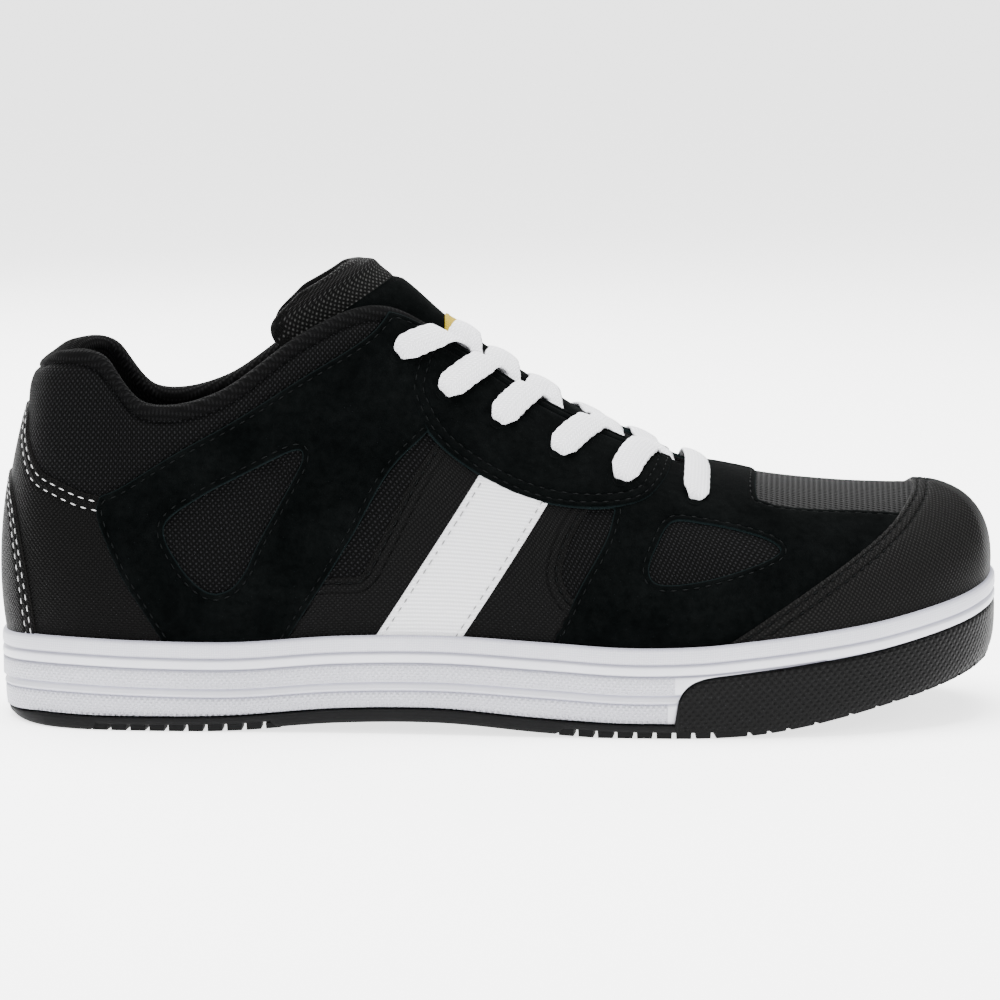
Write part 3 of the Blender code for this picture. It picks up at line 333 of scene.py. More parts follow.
def places_round(start, end):
    return np.linspace(start, end, int(abs(end - start) * OUTLINE_REACH / CELL) + 1)


def side_patch(start, end):
    """A grid on the last, from foot to top, between two places round the shoe."""
    rows = np.linspace(0, 1, int(HOOP_REACH / CELL) + 1)
    return Patch(hoop(places_round(start, end)[:, None], rows[None, :]))


def over_patch(start, end):
    """A grid from the outer side over the ridge to the inner side, with the ridge laid twice."""
    along = places_round(start, end)
    across = np.linspace(0, 1, int(TOE_REACH / CELL) + 1)
    rows = np.concatenate([across, across[::-1]])
    sides = np.repeat([-1.0, 1.0], len(across))
    patch = Patch(hoop(along[:, None] * sides[None, :],
                       rows[None, :] * np.ones((len(along), 1))), -1)
    middle = len(across)
    closed = along >= FIRST_CLOSED - 1e-9
    ridge = patch.out[closed, middle - 1] + patch.out[closed, middle]
    toe = patch.out[-1] + patch.out[-1][::-1]
    patch.out[closed, middle - 1] = patch.out[closed, middle] = ridge
    patch.out[-1] = toe
    patch.out /= np.maximum(np.linalg.norm(patch.out, axis=-1, keepdims=True), 1e-9)
    patch.middle = middle
    patch.closed = closed
    return patch


def distance_inside(points, loop):
    """How far each point lies inside a closed outline; outside it is less than zero."""
    loop = np.asarray(loop, float)
    x, y = points[..., 0], points[..., 1]
    nearest = np.full(x.shape, np.inf)
    inside = np.zeros(x.shape, bool)
    for (ax, ay), (bx, by) in zip(loop, np.roll(loop, -1, axis=0)):
        ex, ey = bx - ax, by - ay
        share = np.clip(((x - ax) * ex + (y - ay) * ey) / max(ex * ex + ey * ey, 1e-18), 0, 1)
        nearest = np.minimum(nearest, np.hypot(x - ax - share * ex, y - ay - share * ey))
        crosses = (ay > y) != (by > y)
        with np.errstate(divide="ignore", invalid="ignore"):
            at = ax + (y - ay) * ex / (ey if ey else 1e-18)
        inside ^= crosses & (x < at)
    return np.where(inside, nearest, -nearest)


print("patch of", side_patch(-0.5, -0.4).place.shape[:2], "points")

# %% [markdown]
# ## Finishes
#
# Each finish is one Principled shader whose colour and relief come from small nodes. Cloth,
# thread and grain have to follow the surface, so every piece carries an attribute called
# cloth: metres along the piece, metres up it, and metres in from its cut edge. Noise that has
# no direction, such as the nap of suede, reads the object's own coordinates instead.

# %% A short way to write a finish


def tinted(colour, share):
    return tuple(value * share for value in colour)


class Finish:
    """A material with one Principled shader and short ways to add nodes before it."""

    def __init__(self, name, colour, roughness, specular, sheen=0.0):
        self.material = bpy.data.materials.new(name)
        self.material.use_nodes = True
        self.tree = self.material.node_tree
        self.shader = self.tree.nodes["Principled BSDF"]
        for socket, value in (("Base Color", (*colour, 1)), ("Roughness", roughness),
                              ("Specular IOR Level", specular), ("Sheen Weight", sheen)):
            self.shader.inputs[socket].default_value = value

    def add(self, kind, sockets=(), **settings):
        """Add a node; sockets are pairs of an input and a number or another node's output."""
        node = self.tree.nodes.new("ShaderNode" + kind)
        for key, value in settings.items():
            setattr(node, key, value)
        for socket, value in sockets:
            if isinstance(value, bpy.types.NodeSocket):
                self.tree.links.new(value, node.inputs[socket])
            else:
                node.inputs[socket].default_value = value
        return node

    def math(self, operation, a, b=0.0):
        return self.add("Math", ((0, a), (1, b)), operation=operation).outputs[0]

    def cloth(self, pitch_x, pitch_y, turn=0.0):
        """Coordinates along the piece, in threads or ribs of the given pitch."""
        place = self.add("Attribute", attribute_name="cloth").outputs["Vector"]
        turned = self.add("VectorRotate", (("Vector", place), ("Angle", turn)),
                          rotation_type="Z_AXIS").outputs[0]
        scale = (1 / pitch_x, 1 / pitch_y, 1)
        return self.add("Mapping", (("Vector", turned), ("Scale", scale))).outputs[0]

    def cloth_part(self, part):
        """One cloth coordinate: 0 is along the piece, 1 is up it and 2 is in from its cut edge."""
        place = self.add("Attribute", attribute_name="cloth").outputs["Vector"]
        return self.add("SeparateXYZ", ((0, place),)).outputs[part]

    def off_lines(self, distance, lines, width):
        """0 on each of the lines, rising to 1 where the nearest one is a width away."""
        away = 1.0
        for line in lines:
            gap = self.math("ABSOLUTE", self.math("SUBTRACT", distance, line))
            away = self.math("MINIMUM", away, self.math("DIVIDE", gap, width))
        return away

    def ribs(self, vector, direction="X"):
        """A smooth wave that rises and falls once in each unit."""
        return self.add("TexWave", (("Vector", vector), ("Scale", math.pi / 10)),
                        bands_direction=direction).outputs["Fac"]

    def grid(self, vector):
        return self.math("MULTIPLY", self.ribs(vector, "X"), self.ribs(vector, "Y"))

    def noise(self, scale, detail=3.0, roughness=0.55):
        place = self.add("TexCoord").outputs["Object"]
        return self.add("TexNoise", (("Vector", place), ("Scale", scale), ("Detail", detail),
                                     ("Roughness", roughness))).outputs["Fac"]

    def ramp(self, value, low, high, dark, light):
        """A colour that runs from dark to light while a value goes from low to high."""
        node = self.add("ValToRGB", ((0, value),))
        for stop, place, colour in zip(node.color_ramp.elements, (low, high), (dark, light)):
            stop.position = place
            stop.color = (*colour, 1)
        return node.outputs["Color"]

    def shaded(self, colour, value, high, dark):
        """The colour made darker where a value is low."""
        shade = self.ramp(value, 0.0, high, dark, (1, 1, 1))
        return self.add("Mix", ((0, 1.0), (6, colour), (7, shade)), data_type="RGBA",
                        blend_type="MULTIPLY").outputs[2]

    def blend(self, share, first, second):
        node = self.add("Mix", ((0, share), (6, first), (7, second)), data_type="RGBA")
        return node.outputs[2]

    def colour(self, output):
        self.tree.links.new(output, self.shader.inputs["Base Color"])
        return self

    def rough(self, value, low, high):
        span = self.add("MapRange", (("Value", value), ("To Min", low), ("To Max", high)))
        self.tree.links.new(span.outputs[0], self.shader.inputs["Roughness"])
        return self

    def relief(self, height, distance, strength=1.0):
        """Raise the surface by a height, on top of any relief that is there already."""
        under = self.shader.inputs["Normal"]
        sockets = [("Height", height), ("Distance", distance), ("Strength", strength)]
        if under.is_linked:
            sockets.append(("Normal", under.links[0].from_socket))
        bump = self.add("Bump", sockets)
        self.tree.links.new(bump.outputs[0], under)
        return self

    def seam_dips(self, lines, width=0.5 * MM, depth=0.25 * MM):
        """The thread of each row of stitches pulls the piece down along it."""
        distance = self.cloth_part(2)
        for line in lines:
            self.relief(self.off_lines(distance, (line,), width), depth)
        return self

    def raw_edge(self, base, colour, reach=0.45 * MM):
        """Where the piece was cut, its fibres are lighter."""
        share = self.math("SUBTRACT", 1.0, self.math("DIVIDE", self.cloth_part(2), reach))
        return self.blend(self.math("MAXIMUM", share, 0.0), base, (*colour, 1))


print("finish tools ready")

# %% [markdown]
# ## Suede, woven cloth, embossed panels and mesh
#
# Black is never one black. The suede is the deepest, because its nap swallows light, and only
# its cut edges are grey. The woven cloth shows small round threads that catch a highlight each;
# its colour adds a painted highlight on each thread's crown and painted shade between the threads.
# The embossed panels are coated, so they are smoother and shine along every bend; their colour
# adds painted light on the raised diamonds and painted shade in the hollows and along the rows of
# stitches.

# %% Finishes of the upper
SEAM_NEAR = 1.7 * MM
SEAM_FAR = 4.3 * MM


def make_suede(name, seams):
    suede = Finish(name, (0.0015, 0.0018, 0.0018), 0.95, 0.01, 0.006)
    nap = suede.noise(420, 6, 0.7)
    clouds = suede.noise(55, 3)
    base = suede.ramp(suede.math("MULTIPLY", nap, clouds), 0.12, 0.42,
                      (0.0003, 0.0005, 0.0005), (0.0018, 0.0022, 0.0022))
    suede.colour(suede.raw_edge(base, (0.0036, 0.0062, 0.0066)))
    suede.relief(nap, 0.22 * MM, 0.9).relief(suede.noise(2600, 2), 0.08 * MM, 0.8)
    return suede.seam_dips(seams).material


def make_weave(name, colour, pitch, gloss=0.62):
    weave = Finish(name, colour, gloss, 0.04, 0.001)
    threads = weave.cloth(pitch, pitch, math.radians(47))
    crowns = weave.grid(threads)
    turns = weave.add("TexChecker", (("Vector", threads), ("Scale", 1.0))).outputs["Fac"]
    over = weave.math("ADD", weave.math("MULTIPLY", turns, 0.35), 0.65)
    # Painted highlight on each thread's crown (four times the colour) and painted shade between the
    # threads (a fifth of it).
    weave.colour(weave.ramp(weave.math("MULTIPLY", crowns, over), 0.15, 0.95,
                            tinted(colour, 0.2), tinted(colour, 4.0)))
    weave.relief(crowns, 0.4 * MM).relief(weave.noise(900, 3), 0.05 * MM, 0.5)
    return weave.rough(crowns, gloss + 0.2, gloss - 0.12).material


def make_embossed(name, colour, pitch, seams):
    coated = Finish(name, colour, 0.42, 0.035)
    diamonds = coated.grid(coated.cloth(pitch, pitch, math.radians(45)))
    # Painted light on the raised diamonds and painted shade in the hollows between them.
    base = coated.ramp(diamonds, 0.1, 0.8, tinted(colour, 0.30), tinted(colour, 1.25))
    # Painted shade along the sunk rows of stitches, darkest on each row.
    away = coated.off_lines(coated.cloth_part(2), seams, 0.7 * MM)
    base = coated.shaded(base, away, 1.0, (0.22, 0.22, 0.22))
    coated.colour(coated.raw_edge(base, (0.0045, 0.0042, 0.0040), 0.35 * MM))
    coated.relief(diamonds, 0.24 * MM).relief(coated.noise(700, 4), 0.06 * MM, 0.6)
    coated.rough(diamonds, 0.56, 0.38)
    return coated.seam_dips(seams).material


def make_mesh_cloth(name, colour, pitch):
    mesh = Finish(name, colour, 0.75, 0.06, 0.006)
    holes = mesh.grid(mesh.cloth(pitch, pitch * 0.9, math.radians(3)))
    # The holes are painted near black: the dark backing seen through them, with painted shade in
    # them.
    mesh.colour(mesh.ramp(holes, 0.22, 0.62, colour, (0.001, 0.001, 0.001)))
    return mesh.relief(mesh.math("SUBTRACT", 1.0, holes), 0.5 * MM).material


def make_knit(name, colour, pitch):
    knit = Finish(name, colour, 0.9, 0.03, 0.008)
    loops = knit.cloth(pitch, pitch * 1.3)
    rows = knit.grid(loops)
    # Painted shade between the knitted loops: the gaps are darkened to a third of the colour.
    knit.colour(knit.ramp(rows, 0.1, 0.8, tinted(colour, 0.3), colour))
    return knit.relief(rows, 0.35 * MM).relief(knit.noise(1200, 3), 0.1 * MM, 0.5).material


suede_panel = make_suede("suede_two_rows", (SEAM_NEAR, SEAM_FAR))
suede_single = make_suede("suede_one_row", (SEAM_NEAR,))
ballistic_cloth = make_weave("ballistic_cloth", (0.0020, 0.0020, 0.0022), 1.2 * MM)
window_mesh = make_mesh_cloth("spacer_mesh", (0.0110, 0.0110, 0.0112), 1.6 * MM)
collar_knit = make_knit("collar_knit", (0.0038, 0.0038, 0.0040), 1.3 * MM)
EMBOSSING = (1.05 * MM, (SEAM_NEAR, SEAM_FAR))
embossed = make_embossed("embossed_heel", (0.0014, 0.0013, 0.0013), *EMBOSSING)
embossed_side = make_embossed("embossed_side", (0.0031, 0.0031, 0.0031), *EMBOSSING)
embossed_toe = make_embossed("embossed_toe", (0.0060, 0.0059, 0.0057), *EMBOSSING)
tongue_cloth = make_weave("tongue_cloth", (0.0085, 0.0085, 0.0083), 1.2 * MM)
print(len(bpy.data.materials), "materials so far")

# %% [markdown]
# ## Rubber, tape, laces and thread
#
# The cupsole is a slightly cool white, with painted shade along each groove. Its bands and the
# black bumper were moulded with a fine knurl, which is too small to model and stays a relief, with
# painted shade in its hollows.

# %% Finishes of the sole and the trimmings
# How far below the lip each groove of the cupsole's side lies; the rubber's colour carries painted
# shade along each one.
SOLE_GROOVES = (5.0 * MM, 8.3 * MM, 14.2 * MM, 16.5 * MM)


def make_rubber(name, colour, rough, knurl=None, depth=0.3 * MM, turn=45, hollow_shade=0.74,
                shade_lines=()):
    rubber = Finish(name, colour, rough, 0.3 if max(colour) > 0.1 else 0.08)
    cloudy = rubber.noise(38, 4)
    rubber.relief(cloudy, 0.35 * MM, 0.5).relief(rubber.noise(1500, 2), 0.03 * MM, 0.6)
    base = rubber.ramp(cloudy, 0.2, 0.8, tinted(colour, 0.90), colour)
    if knurl:
        points = rubber.grid(rubber.cloth(knurl, knurl, math.radians(turn)))
        rubber.relief(points, depth)
        # Painted shade in the knurl's hollows.
        base = rubber.shaded(base, points, 0.32, (hollow_shade, hollow_shade, hollow_shade * 1.03))
    # Painted shade along each groove of the side, and along any other line given.
    if shade_lines:
        away = rubber.off_lines(rubber.cloth_part(1), shade_lines, 0.8 * MM)
        base = rubber.shaded(base, away, 1.0, (0.50, 0.50, 0.58))
    return rubber.colour(base).material


def make_lace_cloth(name, colour, pitch):
    lace = Finish(name, colour, 0.85, 0.2, 0.1)
    aside = lace.cloth_part(1)
    slant = lace.math("ADD", lace.cloth_part(0), lace.math("ABSOLUTE", aside))
    threads = lace.add("CombineXYZ", ((0, slant), (1, aside))).outputs[0]
    scaled = lace.add("Mapping", (("Vector", threads), ("Scale", (1 / pitch, 1 / pitch, 1))))
    plaits = lace.grid(scaled.outputs[0])
    # Painted shade between the plaits of the weave.
    lace.colour(lace.ramp(plaits, 0.0, 0.7, tinted(colour, 0.72), colour))
    return lace.relief(plaits, 0.22 * MM).relief(lace.noise(900, 3), 0.08 * MM, 0.5).material


def make_ribbed_tape(name, colour, pitch):
    tape = Finish(name, colour, 0.8, 0.2, 0.05)
    ribs = tape.ribs(tape.cloth(pitch, pitch), "Y")
    fine = tape.ribs(tape.cloth(pitch * 0.6, pitch * 0.6), "X")
    both = tape.math("MULTIPLY", ribs, tape.math("ADD", tape.math("MULTIPLY", fine, 0.4), 0.6))
    # Painted shade in the hollows between the ribs.
    tape.colour(tape.ramp(both, 0.0, 0.8, tinted(colour, 0.75), colour))
    return tape.relief(both, 0.2 * MM).seam_dips((SEAM_NEAR,), 0.4 * MM, 0.15 * MM).material


def make_thread(name, colour):
    thread = Finish(name, colour, 0.6, 0.05, 0.0)
    return thread.relief(thread.noise(3000, 2), 0.05 * MM).material


white_side = make_rubber("white_side", (0.55, 0.55, 0.59), 0.42, shade_lines=SOLE_GROOVES)
white_knurl = make_rubber("white_knurled_band", (0.52, 0.52, 0.565), 0.5, 1.25 * MM, 0.5 * MM,
                          shade_lines=SOLE_GROOVES)
# The lip's extra line at 0 is painted shade under the upper's edge, which also stands for the grey
# smudge along it.
white_lip = make_rubber("white_lip", (0.49, 0.49, 0.53), 0.45, 0.7 * MM, 0.10 * MM, 0, 0.85,
                        shade_lines=(0.0,) + SOLE_GROOVES)
black_sole = make_rubber("black_sole", (0.0026, 0.0026, 0.0028), 0.6)
black_knurl = make_rubber("black_knurled_bumper", (0.0020, 0.0020, 0.0021), 0.5, 1.7 * MM,
                          0.5 * MM, hollow_shade=0.3)
lace_cloth = make_lace_cloth("lace_cloth", (0.80, 0.80, 0.83), 1.15 * MM)
white_tape = make_ribbed_tape("white_ribbed_tape", (0.64, 0.64, 0.66), 1.2 * MM)
insole_cloth = make_weave("insole_cloth", (0.006, 0.006, 0.0065), 1.1 * MM, 0.85)
yellow_cloth = make_ribbed_tape("yellow_label_cloth", (0.32, 0.225, 0.0), 0.8 * MM)
grey_thread = make_thread("grey_thread", (0.16, 0.16, 0.16))
white_thread = make_thread("white_thread", (0.40, 0.40, 0.40))
black_thread = make_thread("black_thread", (0.0020, 0.0025, 0.0026))
print(len(bpy.data.materials), "materials in all")

# %% [markdown]
# ## Turning a patch into a piece
#
# A piece starts as a flat grid. Its points move to their places on the last, and each keeps
# its cloth coordinates in a layer of its own, which becomes the attribute that the finishes
# read.

# %% Grids and pieces


def lay_grid(data, rows, columns):
    """A grid whose vertices can be found by row and column."""
    made = bmesh.ops.create_grid(data, x_segments=rows - 1, y_segments=columns - 1, size=0.5)
    spread = Vector((rows - 1, columns - 1))
    return {(round((vert.co.x + 0.5) * spread.x), round((vert.co.y + 0.5) * spread.y)): vert
            for vert in made["verts"]}


def grid_from(data, places, cloth):
    """Lay a grid on a table of places, with the cloth coordinates that go with them."""
    layers = data.verts.layers.float_vector
    layer = layers.get("cloth") or layers.new("cloth")
    table = lay_grid(data, *places.shape[:2])
    for at, vert in table.items():
        vert.co = places[at]
        vert[layer] = cloth[at]
    return table


def cloth_table(along, up):
    """Cloth coordinates, from how far each row lies along and each point lies up."""
    return np.stack([np.broadcast_to(along.reshape(-1, 1), up.shape), up, np.ones(up.shape)], -1)


def weld(data, gap=0.02 * MM, cap=False):
    """Close the seams where a grid meets itself, and turn its faces outwards."""
    bmesh.ops.remove_doubles(data, verts=data.verts, dist=gap)
    if cap:
        open_edges = [edge for edge in data.edges if len(edge.link_faces) == 1]
        bmesh.ops.holes_fill(data, edges=open_edges, sides=0)
    bmesh.ops.recalc_face_normals(data, faces=data.faces)


def gather(items, add, batch=40):
    """Make many small shapes a few at a time, which keeps the work of each operator short."""
    whole = bmesh.new()
    for at in range(0, len(items), batch):
        part = bmesh.new()
        for item in items[at:at + batch]:
            add(part, *item)
        mesh = bpy.data.meshes.new("batch")
        part.to_mesh(mesh)
        part.free()
        whole.from_mesh(mesh)
        bpy.data.meshes.remove(mesh)
    layer = whole.verts.layers.float_vector.new("cloth")
    for vert in whole.verts:
        vert[layer] = (vert.co.x, vert.co.z, 1.0)
    return whole


def finish_piece(name, data, finishes, slot, *nodes, smooth=True):
    mesh = bpy.data.meshes.new(name)
    data.to_mesh(mesh)
    data.free()
    for finish in finishes:
        mesh.materials.append(finish)
    if smooth:
        mesh.shade_smooth()
    piece = bpy.data.objects.new(name, mesh)
    bpy.context.scene.collection.objects.link(piece)
    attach(piece, "root")
    if nodes:
        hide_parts(*nodes)
    print(name, "faces", len(mesh.polygons))
    return piece


# %% [markdown]
# ## The white cupsole
#
# The side of the cupsole is one moulded wall. From its lip down it has a round bead, a smaller
# bead, a knurled band, a plain step and a second knurled band that tapers in at its foot. In
# front the black bumper covers the lower half. One profile of a few depths, carried round the
# outline, makes all of it; the rows of points are close together where the profile turns.

# %% The midsole
BEAD, SECOND_BEAD, BAND, STEP = 5.0 * MM, 3.3 * MM, 5.4 * MM, 2.4 * MM
GROOVE = 1.35 * MM
BUMPER_START = (0.672 - 0.5) * SOLE_LENGTH
BUMPER_RISE = 14.5 * MM
OUTSOLE_THICK = 4.2 * MM
BUMPER_WALL = 3.2 * MM
FIT = 0.3 * MM


def plate_top(x):
    """The top of the black plate: it thins out where the heel curls up."""
    thin = np.sqrt(np.clip((x + SOLE_LENGTH / 2) / (13 * MM), 0, 1))
    return bottom_height(x) + OUTSOLE_THICK * (0.3 + 0.7 * thin)


def bumper_top(x):
    """The line where the black rubber ends and the white side begins."""
    climb = np.clip((x - BUMPER_START) / BUMPER_RISE, 0, 1)
    climb = (1 - (1 - climb) ** 3) ** (1 / 3)
    forward = np.clip((x - BUMPER_START) / (SOLE_LENGTH / 2 - BUMPER_START), 0, 1)
    plate = plate_top(x)
    return plate + np.maximum(lip_height(x) - (9.4 - 1.7 * forward) * MM - plate, 0) * climb


def bead(height, depth_in, bulge=0.0, count=7):
    """Depths and insets over one rounded bead, from groove to groove."""
    share = np.linspace(0, 1, count)
    round_out = np.sqrt(np.maximum(1 - (2 * share - 1) ** 4, 0))
    return [(height * w, depth_in * (1 - r) - bulge * r) for w, r in zip(share, round_out)]


side_profile = []
depth = 0.0
for height, groove in ((BEAD, GROOVE), (SECOND_BEAD, GROOVE)):
    side_profile += [(depth + down, inset) for down, inset in bead(height, groove)]
    depth += height
band_top = depth + 0.3 * MM
side_profile += [(band_top, 0.15 * MM), (depth + BAND - 0.2 * MM, 0.15 * MM)]
depth += BAND
side_profile += [(depth + 0.3 * MM, GROOVE * 1.4), (depth + 0.9 * MM, GROOVE * 1.5),
                 (depth + STEP - 0.5 * MM, GROOVE * 0.5), (depth + STEP, GROOVE * 0.4)]
depth += STEP
lower_top = depth + 0.4 * MM
side_profile += [(lower_top, GROOVE * 0.9)] + [
    (depth + 0.8 * MM + 10 * MM * w, GROOVE * 0.6 + 1.1 * MM * w * w) for w in np.linspace(0, 1, 6)]
side_profile = np.array(side_profile)

ring = np.linspace(-1, 1, 721)
ring_edge = outline(ring)
ring_out = outward(ring)
ring_lip = lip_height(ring_edge[:, 0])
ring_foot = bumper_top(ring_edge[:, 0] + FIT) + FIT
ring_far = np.concatenate([[0], np.cumsum(np.linalg.norm(np.diff(ring_edge, axis=0), axis=1))])


def ring_row(inset, height):
    flat = ring_edge - ring_out * np.reshape(inset, (-1, 1))
    return np.column_stack([flat, height])


def ring_skin(rows, downs, gap):
    """Join rows of points round the sole into one closed skin."""
    data = bmesh.new()
    grid_from(data, np.stack(rows, axis=1), cloth_table(ring_far, np.stack(downs, axis=1)))
    weld(data, gap)
    return data


def down_side(face, layer):
    """How far below the lip a face lies."""
    return sum(vert[layer][1] for vert in face.verts) / len(face.verts)


print("side of", len(side_profile), "rows,", round(depth / MM, 1), "mm to the second band")

# %% The cupsole as one piece
FLANGE = 14 * MM
WHOLE_SIDE = 14 * MM
BORDER_BEHIND, BORDER_AHEAD, BORDER_HIGH = 3 * MM, 2.6 * MM, 1.7 * MM
lip_rest = FEATHER_INSET + 0.2 * MM
rows = [ring_row(FLANGE, ring_lip - CUP_DEPTH), ring_row(lip_rest, ring_lip - CUP_DEPTH),
        ring_row(lip_rest - 0.4 * MM, ring_lip - 0.6 * MM),
        ring_row(lip_rest - 0.9 * MM, ring_lip - 0.05 * MM),
        ring_row(1.5 * MM, ring_lip + 0.12 * MM)]
downs = [np.full(len(ring), value) for value in (-0.016, -0.006, -0.003, -0.002, -0.001)]
room = ring_lip - ring_foot
for down, inset in side_profile:
    height = np.maximum(ring_lip - down, ring_foot)
    rows.append(ring_row(np.where((room > WHOLE_SIDE) | (down < room), inset, 0.25 * MM), height))
    downs.append(ring_lip - height)
foot_inset = np.where(room > WHOLE_SIDE, 1.7 * MM, 0.3 * MM)
rows += [ring_row(foot_inset, ring_foot), ring_row(BUMPER_WALL + FIT, ring_foot),
         ring_row(FLANGE, ring_foot)]
downs += [room, np.full(len(ring), 0.03), np.full(len(ring), 0.04)]
sole_data = ring_skin(rows + rows[:1], downs + downs[:1], 0.01 * MM)
cloth_layer = sole_data.verts.layers.float_vector["cloth"]
band_end = BEAD + SECOND_BEAD + BAND
for face in sole_data.faces:
    down = down_side(face, cloth_layer)
    middle = face.calc_center_median()
    if middle.x > BUMPER_START - BORDER_BEHIND and (
            middle.z < bumper_top(middle.x + BORDER_AHEAD) + BORDER_HIGH):
        # A plain border runs along the black bumper.
        face.material_index = 0
    elif band_top < down < band_end - 0.1 * MM or lower_top < down < 0.028:
        face.material_index = 1
    elif down < BEAD:
        face.material_index = 2
finish_piece("cupsole", sole_data, (white_side, white_knurl, white_lip), "white_rubber",
             "midsole")

# %% [markdown]
# ## The black outsole and the insole
#
# The outsole is a thin plate that wraps up round the toes. Lugs stand on it in a row along the
# edge and in a lattice under the heel and the ball of the foot; the arch between them is plain.
# Seen from the side, the edge lugs make the small notches along the ground.

# %% The outsole's skin
LUG_DEPTH = 1.8 * MM
LUG_PITCH = 5.8 * MM
SPINE_LOW, SPINE_HIGH = -0.105, 0.095
BUMPER_KNURL = 7 * MM


def to_spine(edge, height_at, count=9):
    """Rows that run in from a ring of edge points and meet along the middle of the sole."""
    middle = np.column_stack([np.clip(edge[:, 0], SPINE_LOW, SPINE_HIGH),
                              (edge[:, 1] + edge[::-1, 1]) / 2])
    rows = []
    for share in np.linspace(0, 1, count):
        flat = edge[:, :2] * (1 - share) + middle * share
        rows.append(np.column_stack([flat, height_at(flat[:, 0])]))
    return rows


TREAD_ZONES = ((0.098, 0.280), (0.556, 1.100))


def in_tread(x):
    share = np.asarray(x) / SOLE_LENGTH + 0.5
    return sum(np.clip((share - low) / 0.004, 0, 1) * np.clip((high - share) / 0.004, 0, 1)
               for low, high in TREAD_ZONES)


def lug_depth(x):
    """Lugs stand less proud round the toe, where the sole curls up."""
    return LUG_DEPTH * in_tread(x) * (1 - 0.62 * np.clip((x - 0.062) / 0.02, 0, 1))


def plate_bottom(x):
    return bottom_height(x) + lug_depth(x) + 0.05 * MM


wall_top = ring_foot - 2 * FIT
low = plate_bottom(ring_edge[:, 0])
tall = np.maximum(wall_top - low, 0.5 * MM)
rows = to_spine(ring_row(BUMPER_WALL, wall_top - 0.4 * MM), plate_top)[::-1]
rows.append(ring_row(BUMPER_WALL, wall_top))
heel_in = 1.8 * MM * np.clip((-0.136 - ring_edge[:, 0]) / (13 * MM), 0, 1)
rows.append(ring_row(0.9 * MM + heel_in, wall_top + 0.1 * MM))
for share, inset in ((0.02, 0.45), (0.06, 0.2), (0.2, 0.05), (0.5, 0.1), (0.75, 0.35), (0.92, 0.8)):
    rows.append(ring_row(inset * MM + heel_in, wall_top - tall * share))
rows.append(ring_row(1.3 * MM + heel_in, low))
rows += to_spine(ring_row(1.8 * MM + heel_in, low), plate_bottom)
downs = [np.full(len(ring), 0.02 + 0.001 * k) for k in range(len(rows))]
for k in range(9, len(rows)):
    downs[k] = ring_lip - rows[k][:, 2]
outsole_data = ring_skin(rows, downs, 0.02 * MM)
cloth_layer = outsole_data.verts.layers.float_vector["cloth"]
for face in outsole_data.faces:
    side = abs(face.normal.z) < 0.7 and face.calc_center_median().x > BUMPER_START
    face.material_index = int(side and down_side(face, cloth_layer) > BUMPER_KNURL)
print("outsole skin of", len(outsole_data.faces), "faces")

# %% Lugs under the sole
TOE_LUGS_FROM = 0.065
EDGE_LUG_INSET, EDGE_LUG_LENGTH, LUG_GAP = 5.3 * MM, 7.8 * MM, 1.2 * MM
LATTICE_ZONES = ((0.105, 0.275), (0.575, 0.915))
LATTICE_ALONG, LATTICE_ACROSS, LATTICE_INSET = 7.4 * MM, 9.2 * MM, 13.5 * MM
LATTICE_LUG = 5.2 * MM


def add_lug(data, place, size, turn):
    """A lug: a block with its lower edges bevelled, standing on the plate."""
    made = bmesh.ops.create_cube(data, size=1)["verts"]
    x, y = place
    deep = float(lug_depth(np.array(x))) + 0.6 * MM
    for vert in made:
        narrow = 0.94 if vert.co.z < 0 else 1.0
        flat = Matrix.Rotation(turn, 2) @ Vector((vert.co.x * size[0] * narrow,
                                                  vert.co.y * size[1] * narrow))
        under = vert.co.z < 0
        low = float(bottom_height(np.array(x + flat.x)))
        vert.co = (x + flat.x, y + flat.y, low + (0 if under else deep))
        vert.select = under
    low_edges = [edge for vert in made for edge in vert.link_edges
                 if all(end.select for end in edge.verts)]
    bmesh.ops.bevel(data, geom=list(set(low_edges)), offset=0.25 * MM, segments=1, profile=0.5,
                    affect="EDGES", material=-1)


lugs = []
far, end = ring_far[0], ring_far[-1]
while far < end:
    x = outline(np.array(float(np.interp(far, ring_far, ring))))[0]
    pitch = LUG_PITCH if x < TOE_LUGS_FROM else LUG_PITCH * random.choice((1.0, 1.5, 1.9))
    s = float(np.interp(far + pitch / 2, ring_far, ring))
    x, y = outline(np.array(s))
    out = outward(np.array(s))
    far += pitch
    if in_tread(x) > 0.5:
        turn = math.atan2(out[1], out[0])
        lugs.append(((x - out[0] * EDGE_LUG_INSET, y - out[1] * EDGE_LUG_INSET),
                     (EDGE_LUG_LENGTH, pitch - LUG_GAP), turn))
for zone in LATTICE_ZONES:
    first, last = ((share - 0.5) * SOLE_LENGTH for share in zone)
    for i, x in enumerate(np.arange(first, last, LATTICE_ALONG)):
        for y in np.arange(-0.05, 0.05, LATTICE_ACROSS) + (i % 2) * LATTICE_ACROSS / 2:
            if distance_inside(np.array([x, y]), ring_edge) > LATTICE_INSET:
                lugs.append(((x, y), (LATTICE_LUG, LATTICE_LUG), math.pi / 4))
print(len(lugs), "lugs")
lug_data = gather(lugs, add_lug)
lug_mesh = bpy.data.meshes.new("lugs")
lug_data.to_mesh(lug_mesh)
lug_data.free()
outsole_data.from_mesh(lug_mesh)
bpy.data.meshes.remove(lug_mesh)
finish_piece("outsole_rubber", outsole_data, (black_sole, black_knurl), "black_rubber", "outsole",
             smooth=False)

# %% [markdown]
# The insole lies in the cup and is seen only through the collar. It is made like the plate:
# rows of points run in from a ring and meet along the middle, so it has no loose edge.

# %% The insole
inner_ring = np.linspace(-1, 1, 361)
inner_wall = hoop(inner_ring, 0.06)
inner_out = outward(inner_ring)


